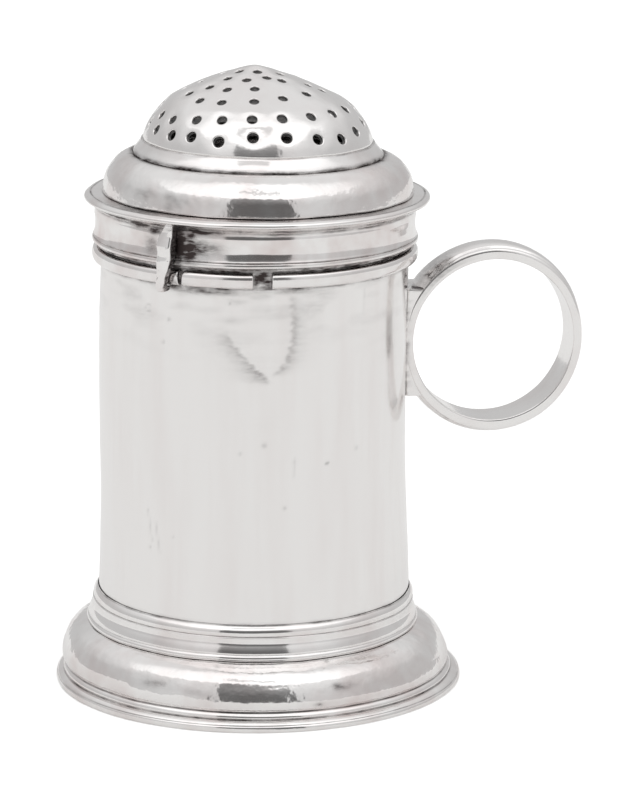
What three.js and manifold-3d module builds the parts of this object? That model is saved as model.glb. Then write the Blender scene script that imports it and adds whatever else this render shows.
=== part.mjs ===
// A turned and soldered silver dredger: a drum on a moulded foot, a finger ring for a
// handle, and a pierced cover held by two hooks that turn under a notched rail.
// Millimetres, +Z up. The drum stands on Z = 0 and the ring lies towards +X.
import * as THREE from "three";
import { mergeVertices } from "three/addons/utils/BufferGeometryUtils.js";
import Module from "manifold-3d";

const wasm = await Module();
wasm.setup();

// Drum
const drumRadius = 22.1;
const drumWall = 0.7;
const drumFlare = 0.5;
const drumFlareHeight = 19;
const drumShowing = 48.3;
const baseThickness = 0.7;

// Foot, from the floor up
const rimHeight = 2.5;
const rimSpread = 1.5;
const rimWidth = 2.6;
const ovoloHeight = 6.2;
const ovoloSpread = 4;
const ovoloWall = 0.9;
const collarHeight = 5.1;
const collarDepth = 1.3;

// Rail round the drum's mouth, with the slots that the hooks drop through
const railHeight = 2.2;
const railDepth = 1.25;
const notchWidth = 2.7;
const seamWidth = 0.75;
const notchAngle = -96.4;
const seamAngle = -125.8;

// Cover, from the rail up
const lidGap = 0.4;
const skirtHeight = 5.2;
const skirtWall = 0.65;
const beadHeight = 1.1;
const beadDepth = 0.4;
const flangeHeight = 2;
const flangeOverhang = 1.75;
const shoulderStep = 1;
const shoulderHeight = 5.3;
const shoulderInset = 4.05;
const shoulderRise = 0.15;
const colletHeight = 2.1;
const colletInset = 1.4;
const domeHeight = 10.7;
const coverWall = 0.7;

// Hooks
const hookAngle = -130.1;
const hookWidth = 2.1;
const hookTip = 1.1;
const hookReach = 2.05;
const hookThickness = 0.5;
const hookBite = 0.8;

// Finger ring and the gussets that fill the wedges between it and the drum
const ringBore = 23.75;
const strapWidth = 7.2;
const strapThickness = 1.75;
const edgeThickness = 1.4;
const edgeBead = 0.9;
const ringDrop = 12.5;
const seatDepth = 0.85;
const gussetSpan = 15.9;
const gussetWidth = 7;

// Clearances
const solderGap = 0.1;
const turningClearance = 0.25;
const mouthClearance = 0.35;
const hookClearance = 0.16;

// Facets
const turnSides = 40;
const ringSides = 48;
const domeSides = 30;
const holeSides = 6;

// The dome's curve from its edge to its crown, as shares of its radius and of its height
const domeShape = [
  [1, 0],
  [0.975, 0.12],
  [0.92, 0.283],
  [0.85, 0.425],
  [0.75, 0.562],
  [0.58, 0.695],
  [0.385, 0.818],
  [0.22, 0.9],
  [0.07, 0.972],
  [0, 1],
];

// Holes of the dome, ring by ring from its edge to its crown: the share of the dome's
// radius that they lie at, their diameter, how many are spread evenly round the back, and
// the angle and share of each one that was punched by eye over the front.
const frontAngle = -99;
const holeRings = [
  {
    share: 0.941,
    bore: 1.6,
    spread: 11,
    front: [
      [-67.3, 0.949],
      [-50.8, 0.952],
      [-36.8, 0.945],
      [-20.5, 0.954],
      [-2.6, 0.927],
      [15.5, 0.929],
      [33.1, 0.944],
      [48.8, 0.955],
      [64.5, 0.938],
      [81.7, 0.917],
    ],
  },
  {
    share: 0.83,
    bore: 1.45,
    spread: 10,
    front: [
      [-72.9, 0.872],
      [-56.4, 0.876],
      [-37.7, 0.852],
      [-21.5, 0.833],
      [-3.3, 0.814],
      [15.1, 0.81],
      [35, 0.807],
      [53.3, 0.806],
      [71.5, 0.801],
    ],
  },
  {
    share: 0.615,
    bore: 1.35,
    spread: 7,
    front: [
      [-66.4, 0.629],
      [-46.3, 0.672],
      [-26.8, 0.66],
      [-1.6, 0.626],
      [23.3, 0.585],
      [50.7, 0.563],
      [81.4, 0.573],
    ],
  },
  {
    share: 0.465,
    bore: 1.3,
    spread: 7,
    front: [
      [-54.9, 0.484],
      [-30.9, 0.478],
      [-1, 0.445],
      [43, 0.333],
    ],
  },
  {
    share: 0.28,
    bore: 1.3,
    spread: 4,
    front: [
      [-50.3, 0.313],
      [-14.6, 0.305],
      [22.2, 0.26],
      [71.2, 0.227],
    ],
  },
  {
    share: 0.12,
    bore: 1.3,
    spread: 1,
    front: [
      [-59.9, 0.164],
      [7.1, 0.143],
    ],
  },
];

// Levels, each on top of the last
const ovoloBase = rimHeight;
const collarBase = ovoloBase + ovoloHeight;
const collarTop = collarBase + collarHeight;
const railBase = collarTop + drumShowing;
const railTop = railBase + railHeight;
const skirtBase = railTop + lidGap;
const flangeBase = skirtBase + skirtHeight;
const shoulderBase = flangeBase + flangeHeight;
const colletBase = shoulderBase + shoulderHeight;
const domeBase = colletBase + colletHeight;

// Radii, each from the piece that it fits
const drumBore = drumRadius - drumWall;
const drumBottom = collarBase - baseThickness;
const drumTop = flangeBase - mouthClearance;
const footBore = drumRadius + drumFlare + solderGap;
const collarRadius = footBore + collarDepth;
const ovoloRadius = collarRadius + ovoloSpread;
const rimRadius = ovoloRadius + rimSpread;
const railRadius = drumRadius + railDepth;
const skirtBore = drumRadius + turningClearance;
const skirtRadius = skirtBore + skirtWall;
const flangeRadius = skirtRadius + flangeOverhang;
const shoulderRadius = skirtRadius - shoulderStep;
const colletRadius = shoulderRadius - shoulderInset;
const domeRadius = colletRadius - colletInset;
const domeBore = domeRadius - coverWall;
const ringInner = ringBore / 2;
const ringOuter = ringInner + strapThickness;
const ringCentre = drumRadius - seatDepth + ringOuter;
const ringLevel = railBase - ringDrop;
const ringReach = ringCentre + ringOuter;

// The origin is the middle of the box round the whole object, on the floor
const axisX = (rimRadius - ringReach) / 2;

// Points of a swelling curve from [r0, z0], where it stands upright, to [r1, z1], where
// it lies level: a quarter of an ellipse when the fullness is 2, and flatter below that.
function swell([r0, z0], [r1, z1], fullness, steps) {
  const points = [];
  for (let i = 0; i <= steps; i += 1) {
    const t = (i / steps) * (Math.PI / 2);
    const across = Math.cos(t) ** (2 / fullness);
    const along = Math.sin(t) ** (2 / fullness);
    points.push([r1 + (r0 - r1) * across, z0 + (z1 - z0) * along]);
  }
  return points;
}

// Points up the dome's surface from its edge to its crown
function domeCurve(radius, height) {
  return domeShape.map(([share, rise]) => [radius * share, domeBase + height * rise]);
}

// A solid turned about Z. A profile runs outside upwards and inside downwards, and closes
// on itself unless both its ends lie on the axis.
function turned(profile, sides = turnSides) {
  const onAxis = profile[0][0] === 0;
  const outline = onAxis ? profile : [...profile, profile[0]];
  const points = outline.map(([r, z]) => new THREE.Vector2(r, z));
  return new THREE.LatheGeometry(points, sides).rotateX(Math.PI / 2);
}

// A flat outline given a depth along Y, with the outline's x and y as X and Z
function plate(outline, depth) {
  const shape = new THREE.Shape(outline.map(([x, z]) => new THREE.Vector2(x, z)));
  const flat = new THREE.ExtrudeGeometry(shape, { depth, bevelEnabled: false });
  return flat.rotateX(Math.PI / 2).translate(0, depth / 2, 0);
}

// A pie slice standing on Z = base, from one angle to another in degrees
function pieSlice(radius, base, height, from, to) {
  const shape = new THREE.Shape();
  const start = THREE.MathUtils.degToRad(from);
  const end = THREE.MathUtils.degToRad(to);
  shape.lineTo(radius * Math.cos(start), radius * Math.sin(start));
  shape.absarc(0, 0, radius, start, end, false);
  const settings = { depth: height, bevelEnabled: false, curveSegments: turnSides };
  return new THREE.ExtrudeGeometry(shape, settings).translate(0, 0, base);
}

function toSolid(geometry) {
  const plain = geometry.clone();
  plain.deleteAttribute("normal");
  plain.deleteAttribute("uv");
  const merged = mergeVertices(plain, 1e-4);
  const mesh = new wasm.Mesh({
    numProp: 3,
    vertProperties: new Float32Array(merged.attributes.position.array),
    triVerts: new Uint32Array(merged.index.array),
  });
  return new wasm.Manifold(mesh);
}

function toGeometry(solid) {
  const mesh = solid.getMesh();
  const geometry = new THREE.BufferGeometry();
  const position = new THREE.BufferAttribute(mesh.vertProperties, 3);
  geometry.setAttribute("position", position);
  geometry.setIndex(new THREE.BufferAttribute(mesh.triVerts, 1));
  geometry.computeVertexNormals();
  return geometry;
}

function silver(colour, roughness) {
  return new THREE.MeshStandardMaterial({ color: colour, roughness, metalness: 1 });
}

function piece(name, geometry, colour = 0xd9d6d3, roughness = 0.25) {
  const mesh = new THREE.Mesh(geometry, silver(colour, roughness));
  mesh.name = name;
  return mesh;
}

// The rolled drum: straight to the flare, which eases out to meet the foot
function makeDrum() {
  const flareTop = Math.min(collarTop + drumFlareHeight, railBase);
  const easedHeight = (flareTop + collarTop) / 2;
  return turned([
    [drumRadius + drumFlare, drumBottom],
    [drumRadius + drumFlare, collarTop],
    [drumRadius + drumFlare / 3, easedHeight],
    [drumRadius, flareTop],
    [drumRadius, drumTop],
    [drumBore, drumTop],
    [drumBore, flareTop],
    [drumBore + drumFlare, collarTop],
    [drumBore + drumFlare, drumBottom],
  ]);
}

// The flat bottom, let in under the drum
function makeBaseDisc() {
  const radius = drumRadius + drumFlare;
  const underside = drumBottom - baseThickness;
  const profile = [
    [0, underside],
    [radius, underside],
    [radius, drumBottom],
    [0, drumBottom],
  ];
  return turned(profile);
}

// Two reeds over a hollow that sweeps out to a round fillet
function makeFootCollar() {
  const reed = collarHeight * 0.16;
  const lip = footBore + 0.2;
  const bead = lip + 0.25;
  return turned([
    [collarRadius, collarBase],
    [collarRadius + 0.07, collarBase + 0.45],
    [collarRadius - 0.15, collarBase + 0.9],
    [lip + 0.7, collarBase + 1.6],
    [lip + 0.4, collarBase + 2.4],
    [lip + 0.12, collarTop - 2 * reed - 0.15],
    [bead, collarTop - 1.5 * reed],
    [lip, collarTop - reed],
    [bead, collarTop - reed / 2],
    [lip, collarTop],
    [footBore, collarTop],
    [footBore, collarBase],
  ]);
}

// The hollow swelling moulding that spreads the foot
function makeFootOvolo() {
  const waist = ovoloBase + 0.9;
  const outside = swell([ovoloRadius, waist], [collarRadius + 0.1, collarBase], 1.65, 6);
  const innerTop = [footBore, collarBase - ovoloWall];
  const inside = swell([ovoloRadius - ovoloWall, waist], innerTop, 1.65, 5);
  return turned([
    [ovoloRadius - 0.2, ovoloBase],
    ...outside,
    [footBore, collarBase],
    ...inside.reverse(),
    [ovoloRadius - ovoloWall, ovoloBase],
  ]);
}

// The stepped wire that the dredger stands on
function makeFootRim() {
  const step = rimHeight * 0.6;
  const inner = rimRadius - rimWidth;
  return turned([
    [inner, 0],
    [rimRadius - 0.4, 0],
    [rimRadius - 0.08, rimHeight * 0.14],
    [rimRadius, rimHeight * 0.32],
    [rimRadius - 0.12, rimHeight * 0.5],
    [ovoloRadius + 0.32, step],
    [ovoloRadius + 0.44, step + 0.45],
    [ovoloRadius + 0.2, rimHeight - 0.15],
    [ovoloRadius - 0.1, rimHeight],
    [inner, rimHeight],
  ]);
}

// The half-round rail, whole
function makeRail() {
  const inner = drumRadius + solderGap;
  const outer = railRadius;
  const middle = railBase + railHeight / 2;
  return turned([
    [inner, railBase],
    [outer - 0.6, railBase],
    [outer - 0.15, railBase + 0.35],
    [outer, middle],
    [outer - 0.15, railTop - 0.35],
    [outer - 0.6, railTop],
    [inner, railTop],
  ]);
}

// The part of the rail between two angles
function railPart(rail, from, to) {
  const slice = pieSlice(railRadius + 2, railBase - 1, railHeight + 2, from, to);
  return toGeometry(rail.intersect(toSolid(slice)));
}

// The strap's section, from its bore to its banded outside, as radius and place across
// the width. The bore end is set by the caller, so that it also gives a filled wheel.
function strapSection(inner, grow) {
  const half = strapWidth / 2 + grow;
  const edge = ringInner + edgeThickness + grow;
  const crown = ringOuter + grow;
  return [
    [inner, -half + 0.25],
    [inner + 0.25, -half],
    [edge - 0.3, -half],
    [edge, -half + edgeBead / 2],
    [edge - 0.2, -half + edgeBead],
    [crown - 0.2, -half + edgeBead + 0.45],
    [crown, 0],
    [crown - 0.2, half - edgeBead - 0.45],
    [edge - 0.2, half - edgeBead],
    [edge, half - edgeBead / 2],
    [edge - 0.3, half],
    [inner + 0.25, half],
    [inner, half - 0.25],
  ];
}

// A wheel about an axis along Y, at the handle's place
function wheel(section) {
  const outline = [...section, section[0]];
  const points = outline.map(([r, y]) => new THREE.Vector2(r, y));
  return new THREE.LatheGeometry(points, ringSides).translate(ringCentre, 0, ringLevel);
}

// The drum's outside as a solid bar, larger by the solder gap, that coped joints fit
function drumBar() {
  const radius = drumRadius + solderGap;
  const bar = [
    [0, 0],
    [radius, 0],
    [radius, drumTop],
    [0, drumTop],
  ];
  return toSolid(turned(bar));
}

// The finger ring, its strap filed to hug the drum
function makeHandleRing() {
  const strap = toSolid(wheel(strapSection(ringInner, 0)));
  return toGeometry(strap.subtract(drumBar()));
}

// A gusset fills the wedge between drum and strap, above or below where they touch
function makeGusset(side) {
  const outer = ringOuter + solderGap;
  const edge = ringInner + edgeThickness + solderGap;
  const drumEdge = Math.sqrt(drumRadius ** 2 - (gussetWidth / 2) ** 2);
  const toAxis = ringCentre - drumEdge - solderGap - 0.3;
  const near = Math.sqrt(Math.max(edge ** 2 - toAxis ** 2, 0));
  const far = gussetSpan / 2;
  const back = drumRadius - 1;
  const front = ringCentre - Math.sqrt(Math.max(outer ** 2 - far ** 2, 0)) + 1;
  const blank = [
    [back, ringLevel + side * near],
    [front, ringLevel + side * near],
    [front, ringLevel + side * far],
    [back, ringLevel + side * far],
  ];
  const block = toSolid(plate(blank, gussetWidth));
  const seat = toSolid(wheel(strapSection(ringInner - 3, solderGap)));
  return toGeometry(block.subtract(drumBar()).subtract(seat));
}

// The plain band that slips over the drum's mouth
function makeSkirt() {
  return turned([
    [skirtBore, skirtBase],
    [skirtRadius, skirtBase],
    [skirtRadius, flangeBase],
    [skirtBore, flangeBase],
  ]);
}

// The wire round the skirt's lower edge
function makeSkirtBead() {
  const inner = skirtRadius + solderGap / 2;
  const outer = inner + beadDepth;
  return turned([
    [inner, skirtBase],
    [outer - 0.15, skirtBase],
    [outer, skirtBase + beadHeight / 2],
    [outer - 0.15, skirtBase + beadHeight],
    [inner, skirtBase + beadHeight],
  ]);
}

// The flange: a hollow below, a round lip and a dished top that meets the shoulder
function makeFlange() {
  const lip = flangeBase + flangeHeight * 0.62;
  const root = skirtRadius + 0.2;
  return turned([
    [skirtBore - 1, flangeBase],
    [root, flangeBase],
    [root + 0.3, flangeBase + 0.45],
    [flangeRadius - 0.5, lip - 0.45],
    [flangeRadius - 0.08, lip - 0.2],
    [flangeRadius, lip],
    [flangeRadius - 0.2, lip + 0.35],
    [flangeRadius - 0.7, shoulderBase - 0.15],
    [shoulderRadius + 0.5, shoulderBase - 0.3],
    [shoulderRadius, shoulderBase],
    [skirtBore - 1, shoulderBase],
  ]);
}

// The domed shoulder: it swells over its top before it dips to the collet
function makeShoulder() {
  const ridge = colletBase + shoulderRise;
  const ridgeRadius = colletRadius + 0.55;
  const outside = swell([shoulderRadius, shoulderBase], [ridgeRadius, ridge], 1.75, 6);
  const innerTop = [ridgeRadius - coverWall, colletBase - coverWall];
  const inside = swell([shoulderRadius - coverWall, shoulderBase], innerTop, 1.75, 5);
  return turned([
    ...outside,
    [colletRadius + 0.12, colletBase],
    [domeBore, colletBase],
    [domeBore, colletBase - coverWall],
    ...inside.reverse(),
  ]);
}

// The step that carries the dome
function makeCollet() {
  const shape = [colletRadius, colletBase + colletHeight * 0.25];
  return turned([
    [domeBore, colletBase],
    [colletRadius, colletBase],
    ...swell(shape, [domeRadius + 0.25, domeBase - 0.05], 1.4, 4),
    [domeRadius, domeBase],
    [domeBore, domeBase],
  ]);
}

// Drills for the dome's holes, each square to the surface that it goes through
function makeHoleDrills() {
  const curve = domeCurve(domeRadius, domeHeight);
  const drills = [];
  holeRings.forEach(({ share, bore, spread, front }) => {
    const holes = [...front];
    const [first] = front[0];
    const [last] = front[front.length - 1];
    const pitch = (first + 360 - last) / (spread + 1);
    for (let i = 1; i <= spread; i += 1) holes.push([last + pitch * i, share]);
    holes.forEach(([angle, reach]) => {
      const r = reach * domeRadius;
      const end = curve.findIndex(([radius]) => radius <= r);
      const [outerR, outerZ] = curve[end - 1];
      const [innerR, innerZ] = curve[end];
      const fall = (innerZ - outerZ) / (outerR - innerR);
      const normal = new THREE.Vector3(fall, 0, 1).normalize();
      const stand = new THREE.Quaternion().setFromUnitVectors(
        new THREE.Vector3(0, 1, 0),
        normal,
      );
      const drill = new THREE.CylinderGeometry(bore / 2, bore / 2, 5, holeSides)
        .applyQuaternion(stand)
        .translate(r, 0, outerZ + fall * (outerR - r))
        .rotateZ(THREE.MathUtils.degToRad(angle + frontAngle));
      drills.push(toSolid(drill));
    });
  });
  return wasm.Manifold.union(drills);
}

// The pierced dome
function makeDome() {
  const outside = domeCurve(domeRadius, domeHeight);
  const inside = domeCurve(domeBore, domeHeight - coverWall).filter((_, i) => i % 3 === 0);
  const shell = toSolid(turned([...outside, ...inside.reverse()], domeSides));
  return toGeometry(shell.subtract(makeHoleDrills()));
}

// A hook: it leans out from under the flange, stands clear of the bead and the rail,
// and turns in under the rail. Seen from the front it tapers from the bead to its tip.
function makeHook() {
  const back = skirtRadius + solderGap;
  const front = skirtRadius + hookReach;
  const clear = Math.max(railRadius, back + beadDepth) + hookClearance;
  const nose = railRadius - hookBite;
  const top = flangeBase - solderGap;
  const overBead = skirtBase + beadHeight + hookClearance;
  const bite = railBase - hookClearance;
  const outline = [
    [back, top],
    [back, overBead],
    [clear, overBead],
    [clear, bite],
    [nose, bite],
    [nose, bite - hookThickness + 0.1],
    [nose + 0.2, bite - hookThickness],
    [front - 0.5, bite - hookThickness],
    [front - 0.1, bite - 0.1],
    [front, bite + 1.2],
    [front, top - 1.8],
    [front - 0.1, top - 1.2],
    [back + 1.3, top],
  ];
  const foot = bite - hookThickness;
  const frontView = new THREE.Shape([
    new THREE.Vector2(-hookTip / 2 + 0.3, foot),
    new THREE.Vector2(hookTip / 2 - 0.3, foot),
    new THREE.Vector2(hookTip / 2, foot + 0.4),
    new THREE.Vector2(hookWidth / 2, overBead),
    new THREE.Vector2(hookWidth / 2, top),
    new THREE.Vector2(-hookWidth / 2, top),
    new THREE.Vector2(-hookWidth / 2, overBead),
    new THREE.Vector2(-hookTip / 2, foot + 0.4),
  ]);
  const taper = new THREE.ExtrudeGeometry(frontView, { depth: front + 1, bevelEnabled: false })
    .rotateX(Math.PI / 2)
    .rotateZ(Math.PI / 2);
  const strip = toSolid(plate(outline.reverse(), hookWidth + 1));
  return toGeometry(strip.intersect(toSolid(taper)));
}

// Fixed pieces, about the drum's axis
const notchHalf = THREE.MathUtils.radToDeg(notchWidth / 2 / railRadius);
const seamHalf = THREE.MathUtils.radToDeg(seamWidth / 2 / railRadius);
const rearNotch = notchAngle + 180;
const wholeRail = toSolid(makeRail());
const railSpans = {
  rail_front: [seamAngle + seamHalf, notchAngle - notchHalf],
  rail_right: [notchAngle + notchHalf, rearNotch - notchHalf],
  rail_left: [rearNotch + notchHalf, seamAngle + 360 - seamHalf],
};
const fixedBody = new THREE.Group();
fixedBody.add(piece("body_drum", makeDrum(), 0xdbd9d8, 0.3));
fixedBody.add(piece("base_disc", makeBaseDisc(), 0xc9c6c2, 0.4));
fixedBody.add(piece("foot_collar", makeFootCollar()));
fixedBody.add(piece("foot_ovolo", makeFootOvolo()));
fixedBody.add(piece("foot_rim", makeFootRim()));
Object.entries(railSpans).forEach(([name, [from, to]]) => {
  fixedBody.add(piece(name, railPart(wholeRail, from, to)));
});
fixedBody.add(piece("handle_ring", makeHandleRing()));
fixedBody.add(piece("upper_gusset", makeGusset(1)));
fixedBody.add(piece("lower_gusset", makeGusset(-1)));

// The cover, which turns about the same axis
const cover = new THREE.Group();
cover.add(piece("cover_skirt", makeSkirt()));
cover.add(piece("skirt_bead", makeSkirtBead()));
cover.add(piece("cover_flange", makeFlange()));
cover.add(piece("cover_shoulder", makeShoulder(), 0xdbd9d8, 0.22));
cover.add(piece("dome_collet", makeCollet()));
cover.add(piece("pierced_dome", makeDome(), 0xd6d3d0, 0.28));
["front_hook", "rear_hook"].forEach((name, index) => {
  const hook = piece(name, makeHook());
  hook.rotation.z = THREE.MathUtils.degToRad(hookAngle + 180 * index);
  cover.add(hook);
});

const dredger = new THREE.Group();
dredger.add(fixedBody, cover);
dredger.position.x = axisX;

export default dredger;
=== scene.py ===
"""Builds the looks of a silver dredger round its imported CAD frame, as Blender operators."""

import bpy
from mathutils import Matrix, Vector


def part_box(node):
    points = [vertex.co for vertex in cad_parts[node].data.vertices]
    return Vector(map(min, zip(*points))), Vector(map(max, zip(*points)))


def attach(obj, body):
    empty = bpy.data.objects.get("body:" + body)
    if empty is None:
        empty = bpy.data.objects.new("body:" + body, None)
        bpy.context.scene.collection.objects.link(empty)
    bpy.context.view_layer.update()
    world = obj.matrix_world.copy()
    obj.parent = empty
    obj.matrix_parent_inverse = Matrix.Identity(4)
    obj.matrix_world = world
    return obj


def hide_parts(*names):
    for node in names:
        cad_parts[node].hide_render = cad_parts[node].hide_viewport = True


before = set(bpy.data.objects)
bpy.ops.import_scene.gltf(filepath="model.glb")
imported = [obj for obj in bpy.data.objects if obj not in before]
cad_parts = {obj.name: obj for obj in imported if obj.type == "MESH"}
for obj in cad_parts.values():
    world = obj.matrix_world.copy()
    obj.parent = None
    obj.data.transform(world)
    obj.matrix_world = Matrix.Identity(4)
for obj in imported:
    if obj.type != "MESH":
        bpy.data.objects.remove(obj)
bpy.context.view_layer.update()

import math

import bpy
import numpy as np
from bpy.props import FloatProperty, FloatVectorProperty, IntProperty, PointerProperty
from mathutils import Vector
from mathutils.geometry import delaunay_2d_cdt

bl_info = {
    "name": "Silver Dredger",
    "version": (1, 0, 0),
    "blender": (4, 5, 0),
    "location": "View3D > Sidebar > Dredger",
    "description": "Makes a silver dredger with a ring handle and a pierced cover, and its studio",
    "category": "Object",
}

# Shapes are worked out in millimetres from the drum's axis, and put into the frame at the end
MM = 0.001
AXIS_X = (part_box("body_drum")[0][0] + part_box("body_drum")[1][0]) / 2

# The photograph looks along this direction, in degrees of the frame, from the drum to the camera
TO_CAMERA = math.radians(-99)

# The catch round the drum, in degrees of the frame: the rail's notches, its saw cut, and the hooks
FRONT_NOTCH = -96.4
REAR_NOTCH = 83.6
SAW_CUT = -125.8
FRONT_HOOK = -130.1
REAR_HOOK = 49.9


def from_hex(text):
    """An sRGB hex colour as linear values: each channel c becomes ((c + 0.055) / 1.055) to the 2.4,
    or c / 12.92 where it is below 0.04045."""
    channels = np.array([int(text[i : i + 2], 16) for i in (1, 3, 5)]) / 255
    bright = ((channels + 0.055) / 1.055) ** 2.4
    return tuple(np.where(channels <= 0.04045, channels / 12.92, bright).tolist())


def length(name, description, default):
    """A length in metres that a user can change."""
    return FloatProperty(name=name, description=description, default=default, unit="LENGTH", precision=5)


def level(node, end):
    """The lowest (0) or highest (1) level of a CAD node, in metres."""
    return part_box(node)[end][2]


def reach(node):
    """The half width of a turned CAD node, in metres."""
    return (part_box(node)[1][0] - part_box(node)[0][0]) / 2


class DredgerSizes(bpy.types.PropertyGroup):
    """Sizes of the dredger. Those that the frame fixes take their default from it."""

    drum_radius: length("Drum radius", "Outside radius of the straight drum", reach("body_drum") - 0.5 * MM)
    drum_flare: length("Drum flare", "How far the drum spreads into the foot", 0.5 * MM)
    flare_height: length("Flare height", "Height over which the drum spreads", 19 * MM)
    sheet: length("Sheet", "Thickness of drum, base, shoulder and dome", 0.7 * MM)
    drum_bottom: length("Drum bottom", "Level of the drum's lower edge", level("body_drum", 0))
    drum_top: length("Drum top", "Level of the drum's mouth", level("body_drum", 1))
    mouth_gap: length("Mouth gap", "How far the drum's mouth stays below the leaning cover", 0.6 * MM)
    collar_base: length("Collar base", "Level of the foot collar's lower edge", level("foot_collar", 0))
    collar_top: length("Collar top", "Level of the foot collar's upper edge", level("foot_collar", 1))
    ovolo_base: length("Ovolo base", "Level of the ovolo's lower edge", level("foot_ovolo", 0))
    rim_radius: length("Rim radius", "Outside radius of the foot", reach("foot_rim"))
    rail_base: length("Rail base", "Level of the rail's lower edge", level("rail_right", 0))
    rail_top: length("Rail top", "Level of the rail's upper edge", level("rail_right", 1))
    skirt_base: length("Skirt base", "Level of the skirt's lower edge", level("cover_skirt", 0))
    flange_base: length("Flange base", "Level of the flange's underside", level("cover_flange", 0))
    shoulder_base: length("Shoulder base", "Level of the shoulder's foot", level("cover_shoulder", 0))
    collet_base: length("Collet base", "Level of the collet's foot", level("dome_collet", 0))
    dome_base: length("Dome base", "Level of the dome's foot", level("pierced_dome", 0))
    dome_top: length("Dome top", "Level of the dome's crown", level("pierced_dome", 1))
    dome_radius: length("Dome radius", "Outside radius of the dome's foot", reach("pierced_dome"))
    ring_bore: length("Ring bore", "Inside diameter of the finger ring", 23.75 * MM)
    strap_width: length("Strap width", "Width of the finger ring's strap", 7.2 * MM)
    strap_thickness: length("Strap thickness", "Thickness of the strap at its middle", 1.75 * MM)
    seat_depth: length("Seat depth", "How deep the strap is filed to hug the drum", 0.85 * MM)
    ring_level: length("Ring level", "Level of the finger ring's middle", 49.6 * MM)
    notch_width: length("Notch width", "Width of the rail's notches", 2.7 * MM)
    seam_width: length("Seam width", "Width of the saw cut in the rail", 0.75 * MM)
    segments: IntProperty(
        name="Segments", description="Steps round a turned piece", default=288, min=48, max=320
    )


class DredgerWear(bpy.types.PropertyGroup):
    """How far the dredger is from a machine-made one."""

    wobble: length("Wobble", "How far the turned pieces are out of round", 0.05 * MM)
    planish: length("Planish", "Depth of the fine waves that hammer and polish left", 0.004 * MM)
    ripple: length("Ripple", "Depth of the small ripples of the finish, 1.8 mm apart", 0.006 * MM)
    dent: length("Dent", "Depth of the dent in the drum's front", 0.12 * MM)
    dishing: length("Dishing", "How far the dome is dished round each punched hole", 0.075 * MM)
    lean: FloatProperty(
        name="Lean", description="Share of the cover's measured lean", default=1.0, min=0, max=2
    )
    # Darkens the sulphide and the painted shade alike
    tarnish_and_shade: FloatProperty(
        name="Tarnish", description="How dark the creases are", default=1.0, min=0, max=1.5,
        subtype="FACTOR",
    )
    scratches: length("Scratches", "Depth of the fine wiping scratches", 0.0014 * MM)


class DredgerColours(bpy.types.PropertyGroup):
    """Colours of the dredger and its studio."""

    silver: FloatVectorProperty(
        name="Silver", description="Polished sterling silver", subtype="COLOR", size=3, min=0, max=1,
        default=from_hex("#F4F2F1"),
    )
    warm_silver: FloatVectorProperty(
        name="Warm silver", description="Silver where a thin tarnish begins", subtype="COLOR", size=3,
        min=0, max=1, default=from_hex("#DCD0CE"),
    )
    # The colour of the sulphide, and also of the painted shade in creases and beside parts
    tarnish_and_shade: FloatVectorProperty(
        name="Tarnish", description="Silver sulphide left in the creases", subtype="COLOR", size=3,
        min=0, max=1, default=from_hex("#4A4241"),
    )
    floor: FloatVectorProperty(
        name="Floor", description="Paper that the dredger stands on", subtype="COLOR", size=3,
        min=0, max=1, default=from_hex("#F6F6F5"),
    )


def millimetres():
    """The sizes as a plain dictionary in millimetres."""
    sizes = bpy.context.scene.dredger_sizes
    names = [n for n in DredgerSizes.__annotations__ if n != "segments"]
    found = {n: getattr(sizes, n) / MM for n in names}
    found["segments"] = sizes.segments
    return found


def corner(radius, height, rounding=0.0):
    """One corner of an outline, and how far from it the rounding begins."""
    return np.array([[radius, height, rounding]])


def swell(start, end, fullness, steps):
    """A quarter of a superellipse from start, where it stands upright, to end, where it lies level:
    the sideways share is cos t and the height share sin t, both to the power 2 / fullness."""
    t = np.linspace(0, math.pi / 2, steps + 1)
    across = np.cos(t) ** (2 / fullness)
    along = np.sin(t) ** (2 / fullness)
    r = end[0] + (start[0] - end[0]) * across
    z = start[1] + (end[1] - start[1]) * along
    return np.stack([r, z, 0 * r], -1)


def rounded(outline, step):
    """A closed outline with each corner turned into a quadratic curve of five points, its control
    points the corner and the two places that lie the rounding away from it, and with every side
    then cut into equal lengths of at most step."""
    places, rounding = outline[:, :2], outline[:, 2]
    before = np.roll(places, 1, axis=0) - places
    after = np.roll(places, -1, axis=0) - places
    long_before = np.maximum(np.linalg.norm(before, axis=1), 1e-9)
    long_after = np.maximum(np.linalg.norm(after, axis=1), 1e-9)
    first = places + before * np.minimum(rounding / long_before, 0.45)[:, None]
    last = places + after * np.minimum(rounding / long_after, 0.45)[:, None]
    t = np.linspace(0, 1, 5)[None, :, None]
    curve = (1 - t) ** 2 * first[:, None] + 2 * t * (1 - t) * places[:, None] + t**2 * last[:, None]
    curve = curve.reshape(-1, 2)
    moved = np.linalg.norm(curve - np.roll(curve, 1, axis=0), axis=1)
    curve = curve[moved > 1e-6]
    following = np.roll(curve, -1, axis=0)
    cuts = np.maximum(1, np.ceil(np.linalg.norm(following - curve, axis=1) / step)).astype(int)
    start = np.repeat(np.arange(len(curve)), cuts)
    share = (np.arange(cuts.sum()) - np.repeat(np.cumsum(cuts) - cuts, cuts)) / np.repeat(cuts, cuts)
    return curve[start] + share[:, None] * (following[start] - curve[start])


def run_of(outline):
    """Distance walked along an outline to each of its points."""
    steps = np.linalg.norm(np.diff(outline, axis=0), axis=1)
    return np.concatenate([[0], np.cumsum(steps)])


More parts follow.
